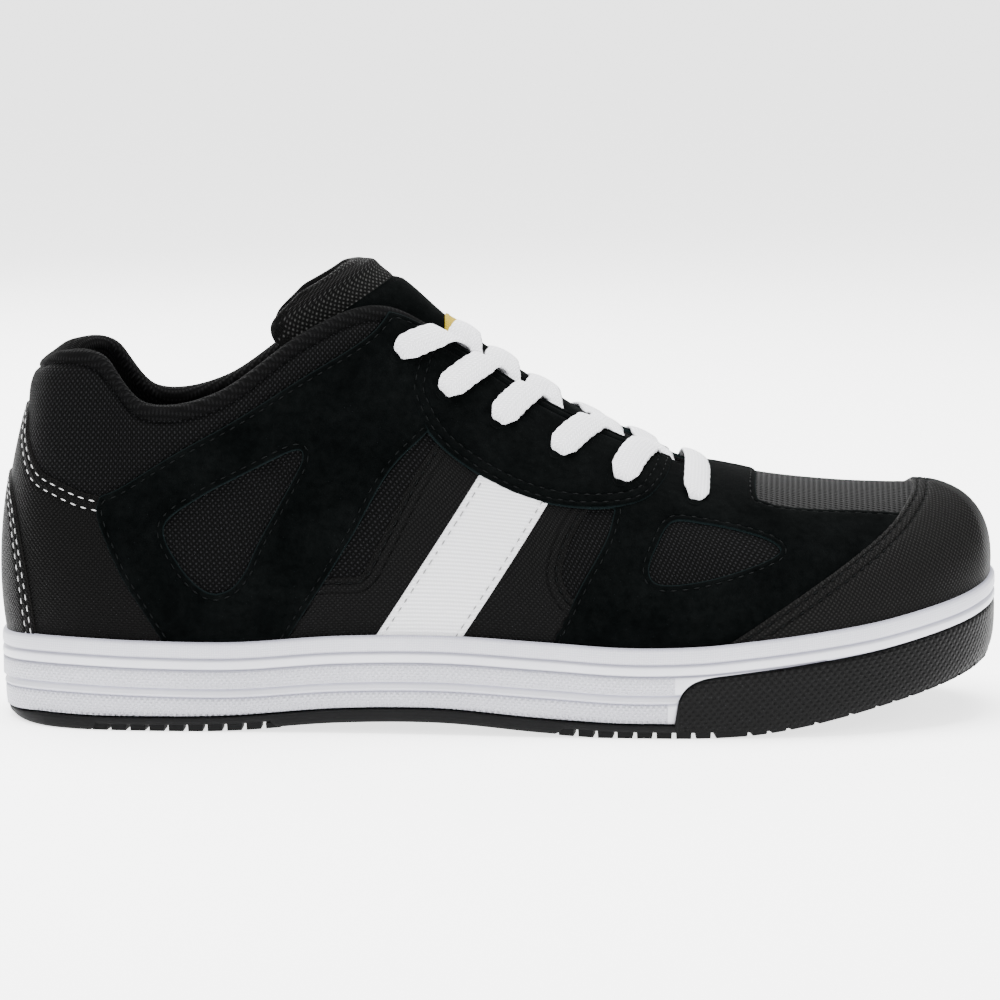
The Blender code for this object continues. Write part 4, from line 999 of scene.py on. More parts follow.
def insole_row(inset, height):
    return np.column_stack([inner_wall[:, :2] - inner_out * inset, height])


def insole_level(x):
    return lip_height(x) - CUP_DEPTH + 3.9 * MM


def insole_under(x):
    return insole_level(x) - 3.5 * MM


edge_x = inner_wall[:, 0]
rows = to_spine(insole_row(4.2 * MM, insole_under(edge_x)), insole_under)[::-1]
rows.append(insole_row(3.3 * MM, insole_level(edge_x) - 2.4 * MM))
rows.append(insole_row(3.1 * MM, insole_level(edge_x) - 0.9 * MM))
rows += to_spine(insole_row(4.0 * MM, insole_level(edge_x)), insole_level)
places = np.stack(rows, axis=1)
insole_data = bmesh.new()
grid_from(insole_data, places, places)
weld(insole_data)
finish_piece("insole_cloth_top", insole_data, (insole_cloth,), "insole_cloth", "insole")

# %% [markdown]
# ## The upper's own cloth
#
# Under the panels lies one shell: woven cloth outside, a pad round the collar and a knitted
# lining inside. It is one grid, carried up the outside, over the rim and down the inside. Over
# the toes the two sides meet on the ridge, so there the rim is taken out and the sides are
# joined. The lining comes over the rim and is sewn down a few millimetres below it.

# %% Outlines of the panels


def side_line(points, steps=6):
    """A smooth line through points given as shares of length and height, seen from the side."""
    points = np.array(points)
    curve = smooth_read(points, np.linspace(0, 1, (len(points) - 1) * steps + 1))
    return np.column_stack([(curve[:, 0] - 0.5) * SOLE_LENGTH,
                            SOLE_HEIGHT + curve[:, 1] * UPPER_HEIGHT])


def side_loop(points, steps=6):
    """A smooth closed outline through points."""
    points = list(points)
    count = len(points)
    long_line = side_line(points * 3, steps)
    return long_line[count * steps:2 * count * steps]


def moved(points, along=0.0, up=0.0):
    return np.asarray(points) + np.array([along, up])


QUARTER_TOP = side_line(((0.398, 1.20), (0.371, 1.075), (0.304, 0.925), (0.240, 0.780),
                         (0.181, 0.662), (0.130, 0.550), (0.108, 0.515)))
QUARTER_BACK = side_line(((0.104, 0.480), (0.107, 0.415), (0.127, 0.245), (0.150, 0.110),
                          (0.178, -0.05)))
QUARTER_FRONT = side_line(((0.4295, 0.745), (0.392, 0.610), (0.357, 0.390), (0.329, 0.225),
                           (0.310, 0.120), (0.280, -0.05)))
QUARTER_WINDOW = side_loop(((0.171, 0.410), (0.205, 0.510), (0.250, 0.595), (0.298, 0.678),
                            (0.307, 0.655), (0.298, 0.580), (0.265, 0.365), (0.249, 0.245),
                            (0.232, 0.185), (0.211, 0.185), (0.186, 0.275)))
STRIP_FRONT = side_line(((0.436, 0.700), (0.414, 0.580), (0.380, 0.345), (0.365, 0.250),
                         (0.351, 0.236), (0.334, 0.236)))
EYESTAY_LOWER = side_line(((0.450, 1.180), (0.424, 1.060), (0.411, 0.930), (0.413, 0.850),
                           (0.436, 0.712), (0.476, 0.600), (0.525, 0.515), (0.570, 0.480),
                           (0.612, 0.478), (0.641, 0.498), (0.660, 0.550), (0.670, 0.600)))
VAMP_BACK = side_line(((0.612, 0.470), (0.603, 0.370), (0.580, 0.225), (0.564, 0.110),
                       (0.541, -0.05)))
POCKET_BACK = side_line(((0.585, 0.470), (0.568, 0.365), (0.560, 0.270), (0.563, 0.215),
                         (0.571, 0.170)))
VAMP_WINDOW = side_loop(((0.668, 0.428), (0.652, 0.345), (0.645, 0.275), (0.650, 0.232),
                         (0.668, 0.222), (0.705, 0.240), (0.750, 0.285), (0.773, 0.325),
                         (0.764, 0.362), (0.735, 0.395), (0.700, 0.420)))
TOE_CAP_BACK = side_line(((0.918, 0.60), (0.916, 0.515), (0.903, 0.450), (0.870, 0.355),
                          (0.782, 0.157), (0.700, -0.03)))
COUNTER_TOP = side_line(((-0.010, 0.830), (0.028, 0.815), (0.034, 0.700), (0.046, 0.605),
                         (0.068, 0.562), (0.090, 0.530), (0.108, 0.515)))
STAY_FRONT = side_line(((-0.010, 0.585), (0.010, 0.580), (0.020, 0.490), (0.029, 0.340),
                        (0.036, 0.200), (0.046, -0.05)))
ABOVE = SOLE_HEIGHT + 2.0 * UPPER_HEIGHT
BELOW = SOLE_HEIGHT - 0.4 * UPPER_HEIGHT
HEEL_END = -0.6 * SOLE_LENGTH
TOE_END = 0.6 * SOLE_LENGTH
UNDERLAP = 5 * MM

# The mesh window lies on top, so its outline is drawn on the plan, as shares of half a width.
MESH_LINE = smooth_read(np.array(((0.930, 0.42), (0.860, 0.48), (0.790, 0.56), (0.762, 0.55),
                                  (0.753, 0.47), (0.758, 0.00))), np.linspace(0, 1, 31))


def ridge_line(x):
    return np.interp(x / SOLE_LENGTH + 0.5, HOOP_ROWS[:17, 0], HOOP_ROWS[:17, 1]) * SOLE_WIDTH / 2


mesh_x = (MESH_LINE[:, 0] - 0.5) * SOLE_LENGTH
mesh_half = MESH_LINE[:, 1] * SOLE_WIDTH / 2
MESH_WINDOW = np.concatenate([
    np.column_stack([mesh_x, ridge_line(mesh_x) - mesh_half]),
    np.column_stack([mesh_x, ridge_line(mesh_x) + mesh_half])[::-1][1:]])


def join(*lines):
    return np.concatenate([np.atleast_2d(line) for line in lines])


print("mesh window", len(MESH_WINDOW), "points")

# %% [markdown]
# The shell could be a smooth surface that gets its thickness from a modifier. Here each row of
# the grid is placed one by one instead, because the pad, the sewn line under the knitted roll and
# the rim each need their own thickness.

# %% The outside of the shell
COLLAR_FADE = (7.2 / (STATIONS - 1), 9.5 / (STATIONS - 1))
THIN, PADDED = 2.5 * MM, 7.5 * MM
LINING_SEAM = 2.9 * MM

shell_s = np.linspace(-1, 1, 501)
shell_u = np.abs(shell_s)
rise = np.concatenate([np.linspace(0, 0.86, 58)[:-1], np.linspace(0.86, 1, 18)])
skin = Patch(hoop(shell_s[:, None], rise[None, :]))
open_part = shell_u < FIRST_CLOSED - 1e-9
ridge = skin.out[:, -1] + skin.out[::-1, -1]
skin.out[~open_part, -1] = ridge[~open_part]
skin.out[0] = skin.out[-1] = skin.out[0] + skin.out[-1]
skin.out /= np.maximum(np.linalg.norm(skin.out, axis=-1, keepdims=True), 1e-9)
to_rim = skin.cloth[:, -1:, 1] - skin.cloth[..., 1]
collar = np.clip((COLLAR_FADE[1] - shell_u) / (COLLAR_FADE[1] - COLLAR_FADE[0]), 0, 1)[:, None]
collar = collar * collar * (3 - 2 * collar)

print("padded along", round(float(collar.mean()), 2), "of the shoe's edge")

# %% Padding, the sewn line and creases
flat = skin.place[..., [0, 2]]
pad_outline = join(COUNTER_TOP[::-1], [[HEEL_END, ABOVE]], [[QUARTER_TOP[0, 0], ABOVE]],
                   QUARTER_TOP)
pad_depth = distance_inside(flat, pad_outline)
seam_at = LINING_SEAM * (1 - 0.55 * np.exp(-(shell_u / 0.13) ** 4))[:, None]
puff = 1.5 * MM * collar * (1 - np.exp(-np.maximum(pad_depth, 0) / (5 * MM)))
puff *= np.clip((to_rim - seam_at) / (5 * MM), 0, 1) ** 0.5
seam_line = np.exp(-((to_rim - seam_at) / (0.9 * MM)) ** 2)
roll_bulge = np.sqrt(np.clip(1 - np.abs(to_rim / seam_at - 0.45) / 0.55, 0, 1))
lift = puff + collar * (0.5 * MM * roll_bulge * (to_rim < seam_at) - 0.7 * MM * seam_line)
for crease_s, crease_t, size, deep in ((-0.30, 0.72, 12, 0.5), (-0.24, 0.60, 9, 0.4),
                                       (0.27, 0.66, 12, 0.5), (-0.66, 0.80, 10, 0.4)):
    centre = hoop(crease_s, crease_t)
    off = skin.place - centre
    slant = off[..., 2] * 0.8 + off[..., 0] * 0.6
    far = np.linalg.norm(off, axis=-1) / (size * MM)
    lift = lift - deep * MM * np.exp(-far ** 2) * np.cos(slant / (2.2 * MM))

print("raised by up to", round(float(lift.max()) / MM, 2), "mm")

# %% Rim and lining
RIM_ROWS = 9
RIM_LENGTH = 8 * MM
thick = THIN + (PADDED - THIN) * collar * np.clip((rise - 0.30) / 0.35, 0, 1)[None, :]
outer = skin.place + skin.out * lift[..., None]
inner = skin.place - skin.out * thick[..., None]
profile = [outer[:, j] for j in range(len(rise))]
heights = [skin.cloth[:, j, 1] for j in range(len(rise))]
rim_out, rim_in = outer[:, -1], inner[:, -1]
crown_rise = np.where(open_part, 0.30, 0.0) * np.linalg.norm(rim_in - rim_out, axis=1)
across = rim_in - rim_out
run = np.gradient(skin.place[:, -1], axis=0)
upward = np.cross(across, run)
upward /= np.maximum(np.linalg.norm(upward, axis=1, keepdims=True), 1e-9)
upward *= np.where(upward[:, 2:] < 0, -1.0, 1.0)
for k in range(1, RIM_ROWS):
    angle = math.pi * k / RIM_ROWS
    share = (1 - math.cos(angle)) / 2
    raise_by = crown_rise * math.sin(angle) * 1.15
    profile.append(rim_out + across * share + upward * raise_by[:, None])
    heights.append(heights[len(rise) - 1] + share * RIM_LENGTH)
for j in range(len(rise) - 1, -1, -2):
    profile.append(inner[:, j])
    heights.append(2 * skin.cloth[:, -1, 1] - skin.cloth[:, j, 1] + RIM_LENGTH)
print("shell of", len(profile), "rows, up to", round(float(thick.max()) / MM, 1), "mm thick")

# %% The shell as one piece
upper_data = bmesh.new()
table = grid_from(upper_data, np.stack(profile + profile[:1], axis=1),
                  cloth_table(skin.cloth[:, 0, 0], np.stack(heights + heights[:1], axis=1)))
rim_start, rim_end = len(rise) - 1, len(rise) - 1 + RIM_ROWS
spot_of = {vert: at for at, vert in table.items()}
cloth_layer = upper_data.verts.layers.float_vector["cloth"]
mesh_depth = distance_inside(skin.place[..., :2], MESH_WINDOW)
doomed = []
for face in upper_data.faces:
    i, j = (min(spot_of[vert][k] for vert in face.verts) for k in (0, 1))
    face.material_index = 1
    if j < rim_start:
        lined = collar[i, 0] > 0.5 and to_rim[i, j] < seam_at[i, 0]
        netted = mesh_depth[i, j] > -4 * MM and not open_part[i]
        face.material_index = 1 if lined else 2 if netted else 0
    elif j < rim_end and not (open_part[i] or open_part[i + 1]):
        doomed.append(face)
    if face.material_index == 2:
        for vert in face.verts:
            vert[cloth_layer] = (vert.co.x, vert.co.y * 1.15, 1.0)
bmesh.ops.delete(upper_data, geom=doomed, context="FACES")
weld(upper_data, 0.03 * MM)
upper = finish_piece("upper_shell", upper_data, (ballistic_cloth, collar_knit, window_mesh),
                     "woven_fabric", "upper")

# %% [markdown]
# ## Panels, cut and laid on the shell
#
# Every panel is cut from a fine grid. A field says how far each point lies inside the outline;
# faces outside are dropped and the points along the cut are drawn onto it, so the edge is clean.
# The cut edge is rounded and turned down, and each row of stitches sinks a little. Panels that
# lie under another are cut a few millimetres larger, as a shoemaker does.

# %% How a panel is cut and sewn
STITCH_PITCH = 3.4 * MM
STITCH_LENGTH = 2.1 * MM
EDGE_RADIUS = 1.1 * MM
EDGE_SHARE = 0.45
SEAM_DIP, SEAM_DIP_REACH = 0.28 * MM, 0.7 * MM


def fit_field(patch, *fields, rim=False):
    """Distances from the cut edge in metres on the surface, from distances seen flat."""
    field = np.minimum.reduce(fields)
    slope = patch.slope(field)
    size = np.linalg.norm(slope, axis=-1)
    fitted = field / np.clip(size, 0.4, 1.6)
    if rim:
        if hasattr(patch, "middle"):
            open_rows = ~patch.closed
            tops = patch.place[:, [patch.middle - 1] * patch.middle
                               + [patch.middle] * patch.middle]
            front = patch.place[np.argmax(patch.closed), patch.middle]
            to_top = np.linalg.norm(patch.place - tops, axis=-1)
            to_front = np.linalg.norm(patch.place - front, axis=-1)
            edge = np.where(open_rows[:, None], to_top, to_front)
        else:
            edge = patch.cloth[:, -1:, 1] - patch.cloth[..., 1]
        fitted = np.minimum(fitted, edge)
    patch_slope = slope / np.maximum(size, 1e-9)[..., None]
    return fitted, patch_slope


# %% Rows of stitches


def level_lines(field, level, skip):
    """Trace the lines on which a field has one value, as lists of places on the grid's edges."""
    above = field > level
    links = {}
    cells = np.argwhere((above[:-1, :-1] != above[1:, :-1]) | (above[:-1, :-1] != above[:-1, 1:])
                        | (above[1:, 1:] != above[1:, :-1]) | (above[1:, 1:] != above[:-1, 1:]))
    for i, j in cells:
        if skip is not None and skip(i, j):
            continue
        crossed = []
        for a, b in (((i, j), (i + 1, j)), ((i + 1, j), (i + 1, j + 1)),
                     ((i, j + 1), (i + 1, j + 1)), ((i, j), (i, j + 1))):
            if above[a] != above[b]:
                crossed.append((a, b))
        for one, other in zip(crossed[::2], crossed[1::2]):
            links.setdefault(one, []).append(other)
            links.setdefault(other, []).append(one)
    lines = []
    waiting = sorted(links, key=lambda edge: len(links[edge]))
    used = set()
    for start in waiting:
        if start in used:
            continue
        line, here = [start], start
        used.add(start)
        while True:
            after = [edge for edge in links[here] if edge not in used]
            if not after:
                break
            here = after[0]
            used.add(here)
            line.append(here)
        lines.append([(a, b, (level - field[a]) / (field[b] - field[a])) for a, b in line])
    return lines


def sew(stitches, lines, top, out, keep=None):
    """Set stitches at an even pitch along lines that lie on a panel's top."""
    for line in lines:
        points = np.array([top[a] * (1 - w) + top[b] * w for a, b, w in line])
        ways = np.array([out[a] * (1 - w) + out[b] * w for a, b, w in line])
        steps = np.linalg.norm(np.diff(points, axis=0), axis=1)
        far = np.concatenate([[0], np.cumsum(steps)])
        if far[-1] < 3 * STITCH_PITCH:
            continue
        for at in np.arange(STITCH_PITCH / 2, far[-1], STITCH_PITCH):
            here = np.array([np.interp(at, far, points[:, k]) for k in range(3)])
            if keep is not None and not keep(here):
                continue
            before, after = (np.array([np.interp(at + reach, far, points[:, k]) for k in range(3)])
                             for reach in (-STITCH_PITCH / 2, STITCH_PITCH / 2))
            way = np.array([np.interp(at, far, ways[:, k]) for k in range(3)])
            stitches.append((here, after - before, way))


def add_stitch(data, here, run, out, width=0.45 * MM):
    """One stitch: a small rounded grain, half sunk in the panel."""
    run = Vector(run).normalized()
    aside = Vector(out).cross(run).normalized()
    turn = Matrix((run, aside, run.cross(aside))).transposed().to_4x4()
    size = Matrix.Diagonal((STITCH_LENGTH / 2, width / 2, width / 2, 1))
    bmesh.ops.create_uvsphere(data, u_segments=6, v_segments=4, radius=1,
                              matrix=Matrix.Translation(Vector(here)) @ turn @ size)


white_stitches, grey_stitches, black_stitches = [], [], []
print("a stitch every", round(STITCH_PITCH / MM, 1), "mm")

# %% One panel


def lay_panel(name, patch, cut, finish, base, top, slot, *nodes, rows=(), thread=None,
              keep=None):
    """Cut one panel out of a patch, round its edge, turn it down and sew its rows.

    The cut is what fit_field gives; base and top are the panel's two heights in millimetres.
    """
    field, slope = cut
    base, top = base * MM, top * MM
    wide = np.argwhere(field > -1.6 * MM)
    (i0, j0), (i1, j1) = wide.min(0), wide.max(0) + 1
    part = (slice(i0, i1), slice(j0, j1))
    field, slope = field[part], slope[part]
    place, out, cloth = patch.place[part], patch.out[part], patch.cloth[part]
    inside = field > 0
    depth = np.clip(field / EDGE_RADIUS, 0, 1)
    rounding = EDGE_SHARE + (1 - EDGE_SHARE) * np.sqrt(1 - (1 - depth) ** 2)
    lift = base + (top - base) * rounding
    for row in rows:
        lift = lift - SEAM_DIP * np.exp(-((field - row) / SEAM_DIP_REACH) ** 2)
    spot = np.where(inside[..., None], place, place - slope * np.minimum(field, 0)[..., None])
    raised = spot + out * lift[..., None]
    data = bmesh.new()
    data.verts.layers.float_vector.new("way")
    full = np.concatenate([cloth, np.maximum(field, 0)[..., None]], -1)
    table = grid_from(data, raised, full)
    way_layer = data.verts.layers.float_vector["way"]
    for at, vert in table.items():
        vert[way_layer] = out[at] * (lift[at] - base + 0.3 * MM)
    cloth_layer = data.verts.layers.float_vector["cloth"]
    index_of = {vert: at for at, vert in table.items()}
    split = patch.middle - j0 if hasattr(patch, "middle") else None
    doomed = []
    for face in data.faces:
        spots = [index_of[vert] for vert in face.verts]
        across = split is not None and {split - 1, split} == {at[1] for at in spots}
        if across or not any(inside[at] for at in spots):
            doomed.append(face)
    bmesh.ops.delete(data, geom=doomed, context="FACES")
    loose = [vert for vert in data.verts if not vert.link_faces]
    bmesh.ops.delete(data, geom=loose, context="VERTS")
    bmesh.ops.remove_doubles(data, verts=data.verts, dist=0.01 * MM)
    rim = [edge for edge in data.edges if len(edge.link_faces) == 1]
    made = bmesh.ops.extrude_edge_only(data, edges=rim)["geom"]
    for vert in made:
        if isinstance(vert, bmesh.types.BMVert):
            vert.co -= Vector(vert[way_layer])
            along, up, _ = vert[cloth_layer]
            vert[cloth_layer] = (along, up, -0.001)
    if patch.turn > 0:
        bmesh.ops.reverse_faces(data, faces=data.faces)
    if thread is not None:
        def skip(i, j):
            return split is not None and j == split - 1 and not patch.closed[i + i0]
        for row in rows:
            sew(thread, level_lines(field, row, skip), raised, out, keep)
    return finish_piece(name, data, (finish,), slot, *nodes)


# %% [markdown]
# The outlines are cut in the order in which the real pieces lie: side panel, quarter, tape and
# eyestay on each side, then heel, vamp and toe cap. Both sides take the same outlines, because
# the inner side can't be seen in the photograph.

# %% The panels of the two sides
TAPE_WIDTH = 21.5 * MM
POCKET_SEAM = 1.6 * MM
EYESTAY_SEWN = 6 * MM
TWO_ROWS = (SEAM_NEAR, SEAM_FAR)
sides = {"lateral": side_patch(-0.70, -0.03), "medial": side_patch(0.03, 0.70)}
heel_patch = side_patch(-0.36, 0.36)
front_patch = over_patch(0.38, 1.0)


def seen(patch):
    return patch.place[..., [0, 2]]


for word, patch in sides.items():
    flat = seen(patch)
    lower_front = QUARTER_FRONT[QUARTER_FRONT[:, 1] < STRIP_FRONT[-1, 1]]
    lower_vamp = VAMP_BACK[VAMP_BACK[:, 1] < POCKET_BACK[-1, 1]]
    loop = join(STRIP_FRONT[::-1], moved(STRIP_FRONT[0], UNDERLAP, 9 * MM),
                moved(POCKET_BACK[0], UNDERLAP, 9 * MM), POCKET_BACK,
                moved(lower_vamp, UNDERLAP, 0), moved(lower_front[::-1], -UNDERLAP, 0))
    lay_panel("embossed_side_" + word, patch, fit_field(patch, distance_inside(flat, loop)),
              embossed_side, -0.2, 0.6, "embossed_panel", "side_panel_" + word,
              rows=(POCKET_SEAM,), thread=black_stitches)

    behind = EYESTAY_LOWER[EYESTAY_LOWER[:, 1] > QUARTER_FRONT[0, 1]]
    loop = join(QUARTER_TOP[::-1], moved(behind, UNDERLAP * 1.5, 0), QUARTER_FRONT,
                QUARTER_BACK[::-1])
    cut = fit_field(patch, distance_inside(flat, loop), -distance_inside(flat, QUARTER_WINDOW),
                    rim=True)
    lay_panel("suede_quarter_" + word, patch, cut, suede_single, -0.2, 1.35, "suede",
              "quarter_overlay_" + word, rows=(SEAM_NEAR,), thread=black_stitches)

    top, low = side_line(((0.530, 0.640), (0.412, -0.02)), 1)
    half = TAPE_WIDTH / 2 / math.sin(math.atan2(top[1] - low[1], top[0] - low[0]))
    reach = (top - low) * 0.15
    loop = np.array([moved(top + reach, -half), moved(top + reach, half), moved(low - reach, half),
                     moved(low - reach, -half)])
    under = join(EYESTAY_LOWER, [[EYESTAY_LOWER[-1, 0], ABOVE]], [[EYESTAY_LOWER[0, 0], ABOVE]])
    cut = fit_field(patch, distance_inside(flat, loop), UNDERLAP - distance_inside(flat, under))
    lay_panel("ribbed_tape_" + word, patch, cut, white_tape, 0.45, 1.1, "white_tape",
              "side_tape_" + word, rows=(SEAM_NEAR,), thread=grey_stitches)

    lay_panel("suede_eyestay_" + word, patch,
              fit_field(patch, distance_inside(flat, under), rim=True), suede_panel, -0.1, 1.7,
              "suede", "eyestay_" + word, rows=TWO_ROWS, thread=black_stitches,
              keep=lambda here: distance_inside(here[[0, 2]], under) < EYESTAY_SEWN)

# %% The panels of the heel
flat = seen(heel_patch)
loop = join(COUNTER_TOP, moved(QUARTER_BACK, 2 * UNDERLAP, 0), [[HEEL_END, BELOW]],
            [[HEEL_END, COUNTER_TOP[0, 1]]])
lay_panel("heel_counter_panel", heel_patch, fit_field(heel_patch, distance_inside(flat, loop)),
          embossed, -0.2, 0.8, "embossed_panel", "heel_counter", rows=TWO_ROWS,
          thread=white_stitches)
loop = join(STAY_FRONT, [[HEEL_END, BELOW]], [[HEEL_END, STAY_FRONT[0, 1]]])
lay_panel("heel_stay_panel", heel_patch, fit_field(heel_patch, distance_inside(flat, loop)),
          embossed, 0.5, 1.6, "embossed_panel", "heel_stay", rows=TWO_ROWS,
          thread=white_stitches)

# %% The vamp and the toe cap
flat = seen(front_patch)
start = EYESTAY_LOWER[EYESTAY_LOWER[:, 0] > VAMP_BACK[0, 0]]
cap = moved(TOE_CAP_BACK, UNDERLAP, 0)
loop = join(moved(start[::-1], -UNDERLAP, UNDERLAP), VAMP_BACK, [[cap[-1, 0], VAMP_BACK[-1, 1]]],
            cap[::-1], [[cap[0, 0], ABOVE]], [[start[-1, 0] - UNDERLAP, ABOVE]])
cut = fit_field(front_patch, distance_inside(flat, loop), -distance_inside(flat, VAMP_WINDOW),
                -distance_inside(front_patch.place[..., :2], MESH_WINDOW), rim=True)
lay_panel("suede_vamp", front_patch, cut, suede_single, -0.2, 0.9, "suede",
          "vamp_overlay", rows=(SEAM_NEAR,), thread=black_stitches)
loop = join(TOE_CAP_BACK, [[TOE_END, TOE_CAP_BACK[-1, 1]]], [[TOE_END, TOE_CAP_BACK[0, 1]]])
lay_panel("toe_cap_panel", front_patch, fit_field(front_patch, distance_inside(flat, loop)),
          embossed_toe, -0.1, 1.4, "embossed_panel", "toe_cap", rows=TWO_ROWS,
          thread=black_stitches)
print("stitches:", len(white_stitches), "white,", len(grey_stitches), "grey,",
      len(black_stitches), "black")

# %% [markdown]
# ## The tongue
#
# The tongue lies under both edges of the throat and stands up through the collar. Its top is a
# soft roll of woven cloth; from there down its front is faced with suede, and its back is knit.
# Each section is pushed down until it clears the shell, with room left for the laces that pass
# between tongue and eyestay. Cloth simulation could puff it up, but most of it is held flat, so
# its crown and its roll are given by a few numbers for each section.

# %% The tongue, soft and rolled
TONGUE_ROWS = np.array((
    (0.702, 0.545, 0.38, 0.08, 0.035, 25), (0.678, 0.580, 0.42, 0.11, 0.038, 27),
    (0.645, 0.645, 0.46, 0.16, 0.045, 30), (0.590, 0.750, 0.48, 0.21, 0.050, 34),
    (0.540, 0.868, 0.48, 0.26, 0.055, 38), (0.492, 0.990, 0.47, 0.32, 0.060, 42),
    (0.447, 1.112, 0.38, 0.38, 0.070, 48), (0.408, 1.238, 0.35, 0.46, 0.085, 55),
    (0.378, 1.310, 0.33, 0.42, 0.085, 60), (0.362, 1.332, 0.31, 0.24, 0.040, 62)))
TONGUE_ARCH = np.array(((0, 0), (0.32, 0.05), (0.62, 0.22), (0.86, 0.54), (1, 1)))
TONGUE_EDGE = 2.8 * MM
TONGUE_GAP = 0.8 * MM
LACE_ROOM = 1.6 * MM
FACING_END, ROLL_AT, ROLL_REACH = 0.815, 0.93, 0.055
TONGUE_SECTIONS, TONGUE_COLUMNS = 90, 41


def tree_of(*pieces):
    """A tree to cast rays against, from finished pieces."""
    places, faces = [], []
    for piece in pieces:
        first = len(places)
        places += [vert.co.copy() for vert in piece.data.vertices]
        faces += [[first + corner for corner in face.vertices] for face in piece.data.polygons]
    return BVHTree.FromPolygons(places, faces)


def settle(values, rounds, low=None):
    """Even out a table along its rows, never letting it fall below where it must be."""
    low = values.copy() if low is None else low
    for _ in range(rounds):
        values[1:-1] = np.maximum(low[1:-1], (values[:-2] + values[2:]) / 2)
    return values


print("tongue of", TONGUE_SECTIONS, "sections")

# %% The tongue pushed clear of the shell
shares = np.linspace(0, 1, TONGUE_SECTIONS)
rows = smooth_read(TONGUE_ROWS, shares)
crowns = np.column_stack([(rows[:, 0] - 0.5) * SOLE_LENGTH,
                          np.full(len(rows), float(ridge_line(0.1 * SOLE_LENGTH))),
                          SOLE_HEIGHT + rows[:, 1] * UPPER_HEIGHT])
lean = np.radians(rows[:, 5])
inward = np.column_stack([-np.sin(lean), np.zeros(len(rows)), -np.cos(lean)])
arch_at = np.abs(np.linspace(-1, 1, TONGUE_COLUMNS))
arch = smooth_read(TONGUE_ARCH, arch_at)
out_share = arch[:, 0] * np.sign(np.linspace(-1, 1, TONGUE_COLUMNS))
half = rows[:, 2] * SOLE_WIDTH / 2
depth = arch[:, 1][None, :] * rows[:, 3][:, None] * UPPER_HEIGHT
wall_tree = tree_of(upper)
reach = UPPER_HEIGHT * 0.55
for i in range(TONGUE_SECTIONS):
    for k in range(TONGUE_COLUMNS):
        probe = crowns[i] + np.array([0, out_share[k] * half[i], 0]) + inward[i] * reach
        distance = wall_tree.ray_cast(Vector(probe), Vector(-inward[i]), reach * 2)[3]
        if distance is not None:
            depth[i, k] = max(depth[i, k], reach - distance + TONGUE_GAP + LACE_ROOM)
depth = settle(depth, 40)
depth = settle(depth.T.copy(), 4).T
across = np.zeros(depth.shape)
for i in range(TONGUE_SECTIONS):
    for k in range(TONGUE_COLUMNS):
        wish = out_share[k] * half[i]
        middle = crowns[i] + inward[i] * depth[i, k]
        way = 1.0 if wish > 0 else -1.0
        distance = wall_tree.ray_cast(Vector(middle), Vector((0, way, 0)), SOLE_WIDTH)[3]
        room = abs(wish) if distance is None else min(abs(wish), max(distance - TONGUE_GAP, 0))
        across[i, k] = way * room
print("tongue up to", round(float(np.ptp(across, axis=1).max()) / MM), "mm wide")

# %% Its two sides
faced = np.clip((FACING_END - shares) / 0.008, 0, 1)
roll = np.exp(-((shares - ROLL_AT) / ROLL_REACH) ** 2)
facing_seam = np.exp(-((shares - FACING_END) / 0.01) ** 2)
top_lift = 0.9 * MM * faced + 1.3 * MM * roll - 0.5 * MM * facing_seam
top_rows, under_rows = [], []
for i in range(TONGUE_SECTIONS):
    flat = np.column_stack([across[i], depth[i]])
    run = np.gradient(flat, axis=0)
    run /= np.maximum(np.linalg.norm(run, axis=1, keepdims=True), 1e-9)
    square = np.column_stack([-run[:, 1], run[:, 0]])
    padding = TONGUE_EDGE + max(rows[i, 4] * UPPER_HEIGHT - TONGUE_EDGE, 0) * (1 - out_share ** 2)
    upper_side = flat - square * (top_lift[i] * (1 - out_share ** 6))[:, None]
    under = flat + square * padding[:, None]
    for face, line in ((top_rows, upper_side), (under_rows, under)):
        face.append(crowns[i] + np.array([0.0, 1.0, 0.0]) * line[:, :1] + inward[i] * line[:, 1:])
top_rows, under_rows = np.array(top_rows), np.array(under_rows)
print("sides of", top_rows.shape[:2], "points")

# %% Its folded ends and its edges
FOLD_ROWS = EDGE_ROWS = 4
for end, way in ((0, -1), (-1, 1)):
    # Each end of the tongue is folded over: a half round between its two sides.
    middle = (top_rows[end] + under_rows[end]) / 2
    half_thick = (top_rows[end] - under_rows[end]) / 2
    ahead = top_rows[end] - top_rows[end - way]
    ahead /= np.linalg.norm(ahead, axis=1, keepdims=True)
    size = np.linalg.norm(half_thick, axis=1, keepdims=True)
    extra_top, extra_under = [], []
    for angle in (math.pi / 2 * k / FOLD_ROWS for k in range(1, FOLD_ROWS + 1)):
        shift = ahead * size * math.sin(angle)
        extra_top.append(middle + half_thick * math.cos(angle) + shift)
        extra_under.append(middle - half_thick * math.cos(angle) + shift)
    if end == 0:
        top_rows = np.concatenate([np.array(extra_top[::-1]), top_rows])
        under_rows = np.concatenate([np.array(extra_under[::-1]), under_rows])
    else:
        top_rows = np.concatenate([top_rows, np.array(extra_top)])
        under_rows = np.concatenate([under_rows, np.array(extra_under)])
edge_rows = []
for k in (0, -1):
    middle = (top_rows[:, k] + under_rows[:, k]) / 2
    half_thick = (top_rows[:, k] - under_rows[:, k]) / 2
    aside = top_rows[:, k] - top_rows[:, 1 if k == 0 else -2]
    aside /= np.maximum(np.linalg.norm(aside, axis=1, keepdims=True), 1e-9)
    size = np.linalg.norm(half_thick, axis=1, keepdims=True)
    edge_rows.append([middle + half_thick * math.cos(a) + aside * size * math.sin(a)
                      for a in np.linspace(0, math.pi, EDGE_ROWS + 2)[1:-1]])
print("tongue folded into", len(top_rows), "rows")

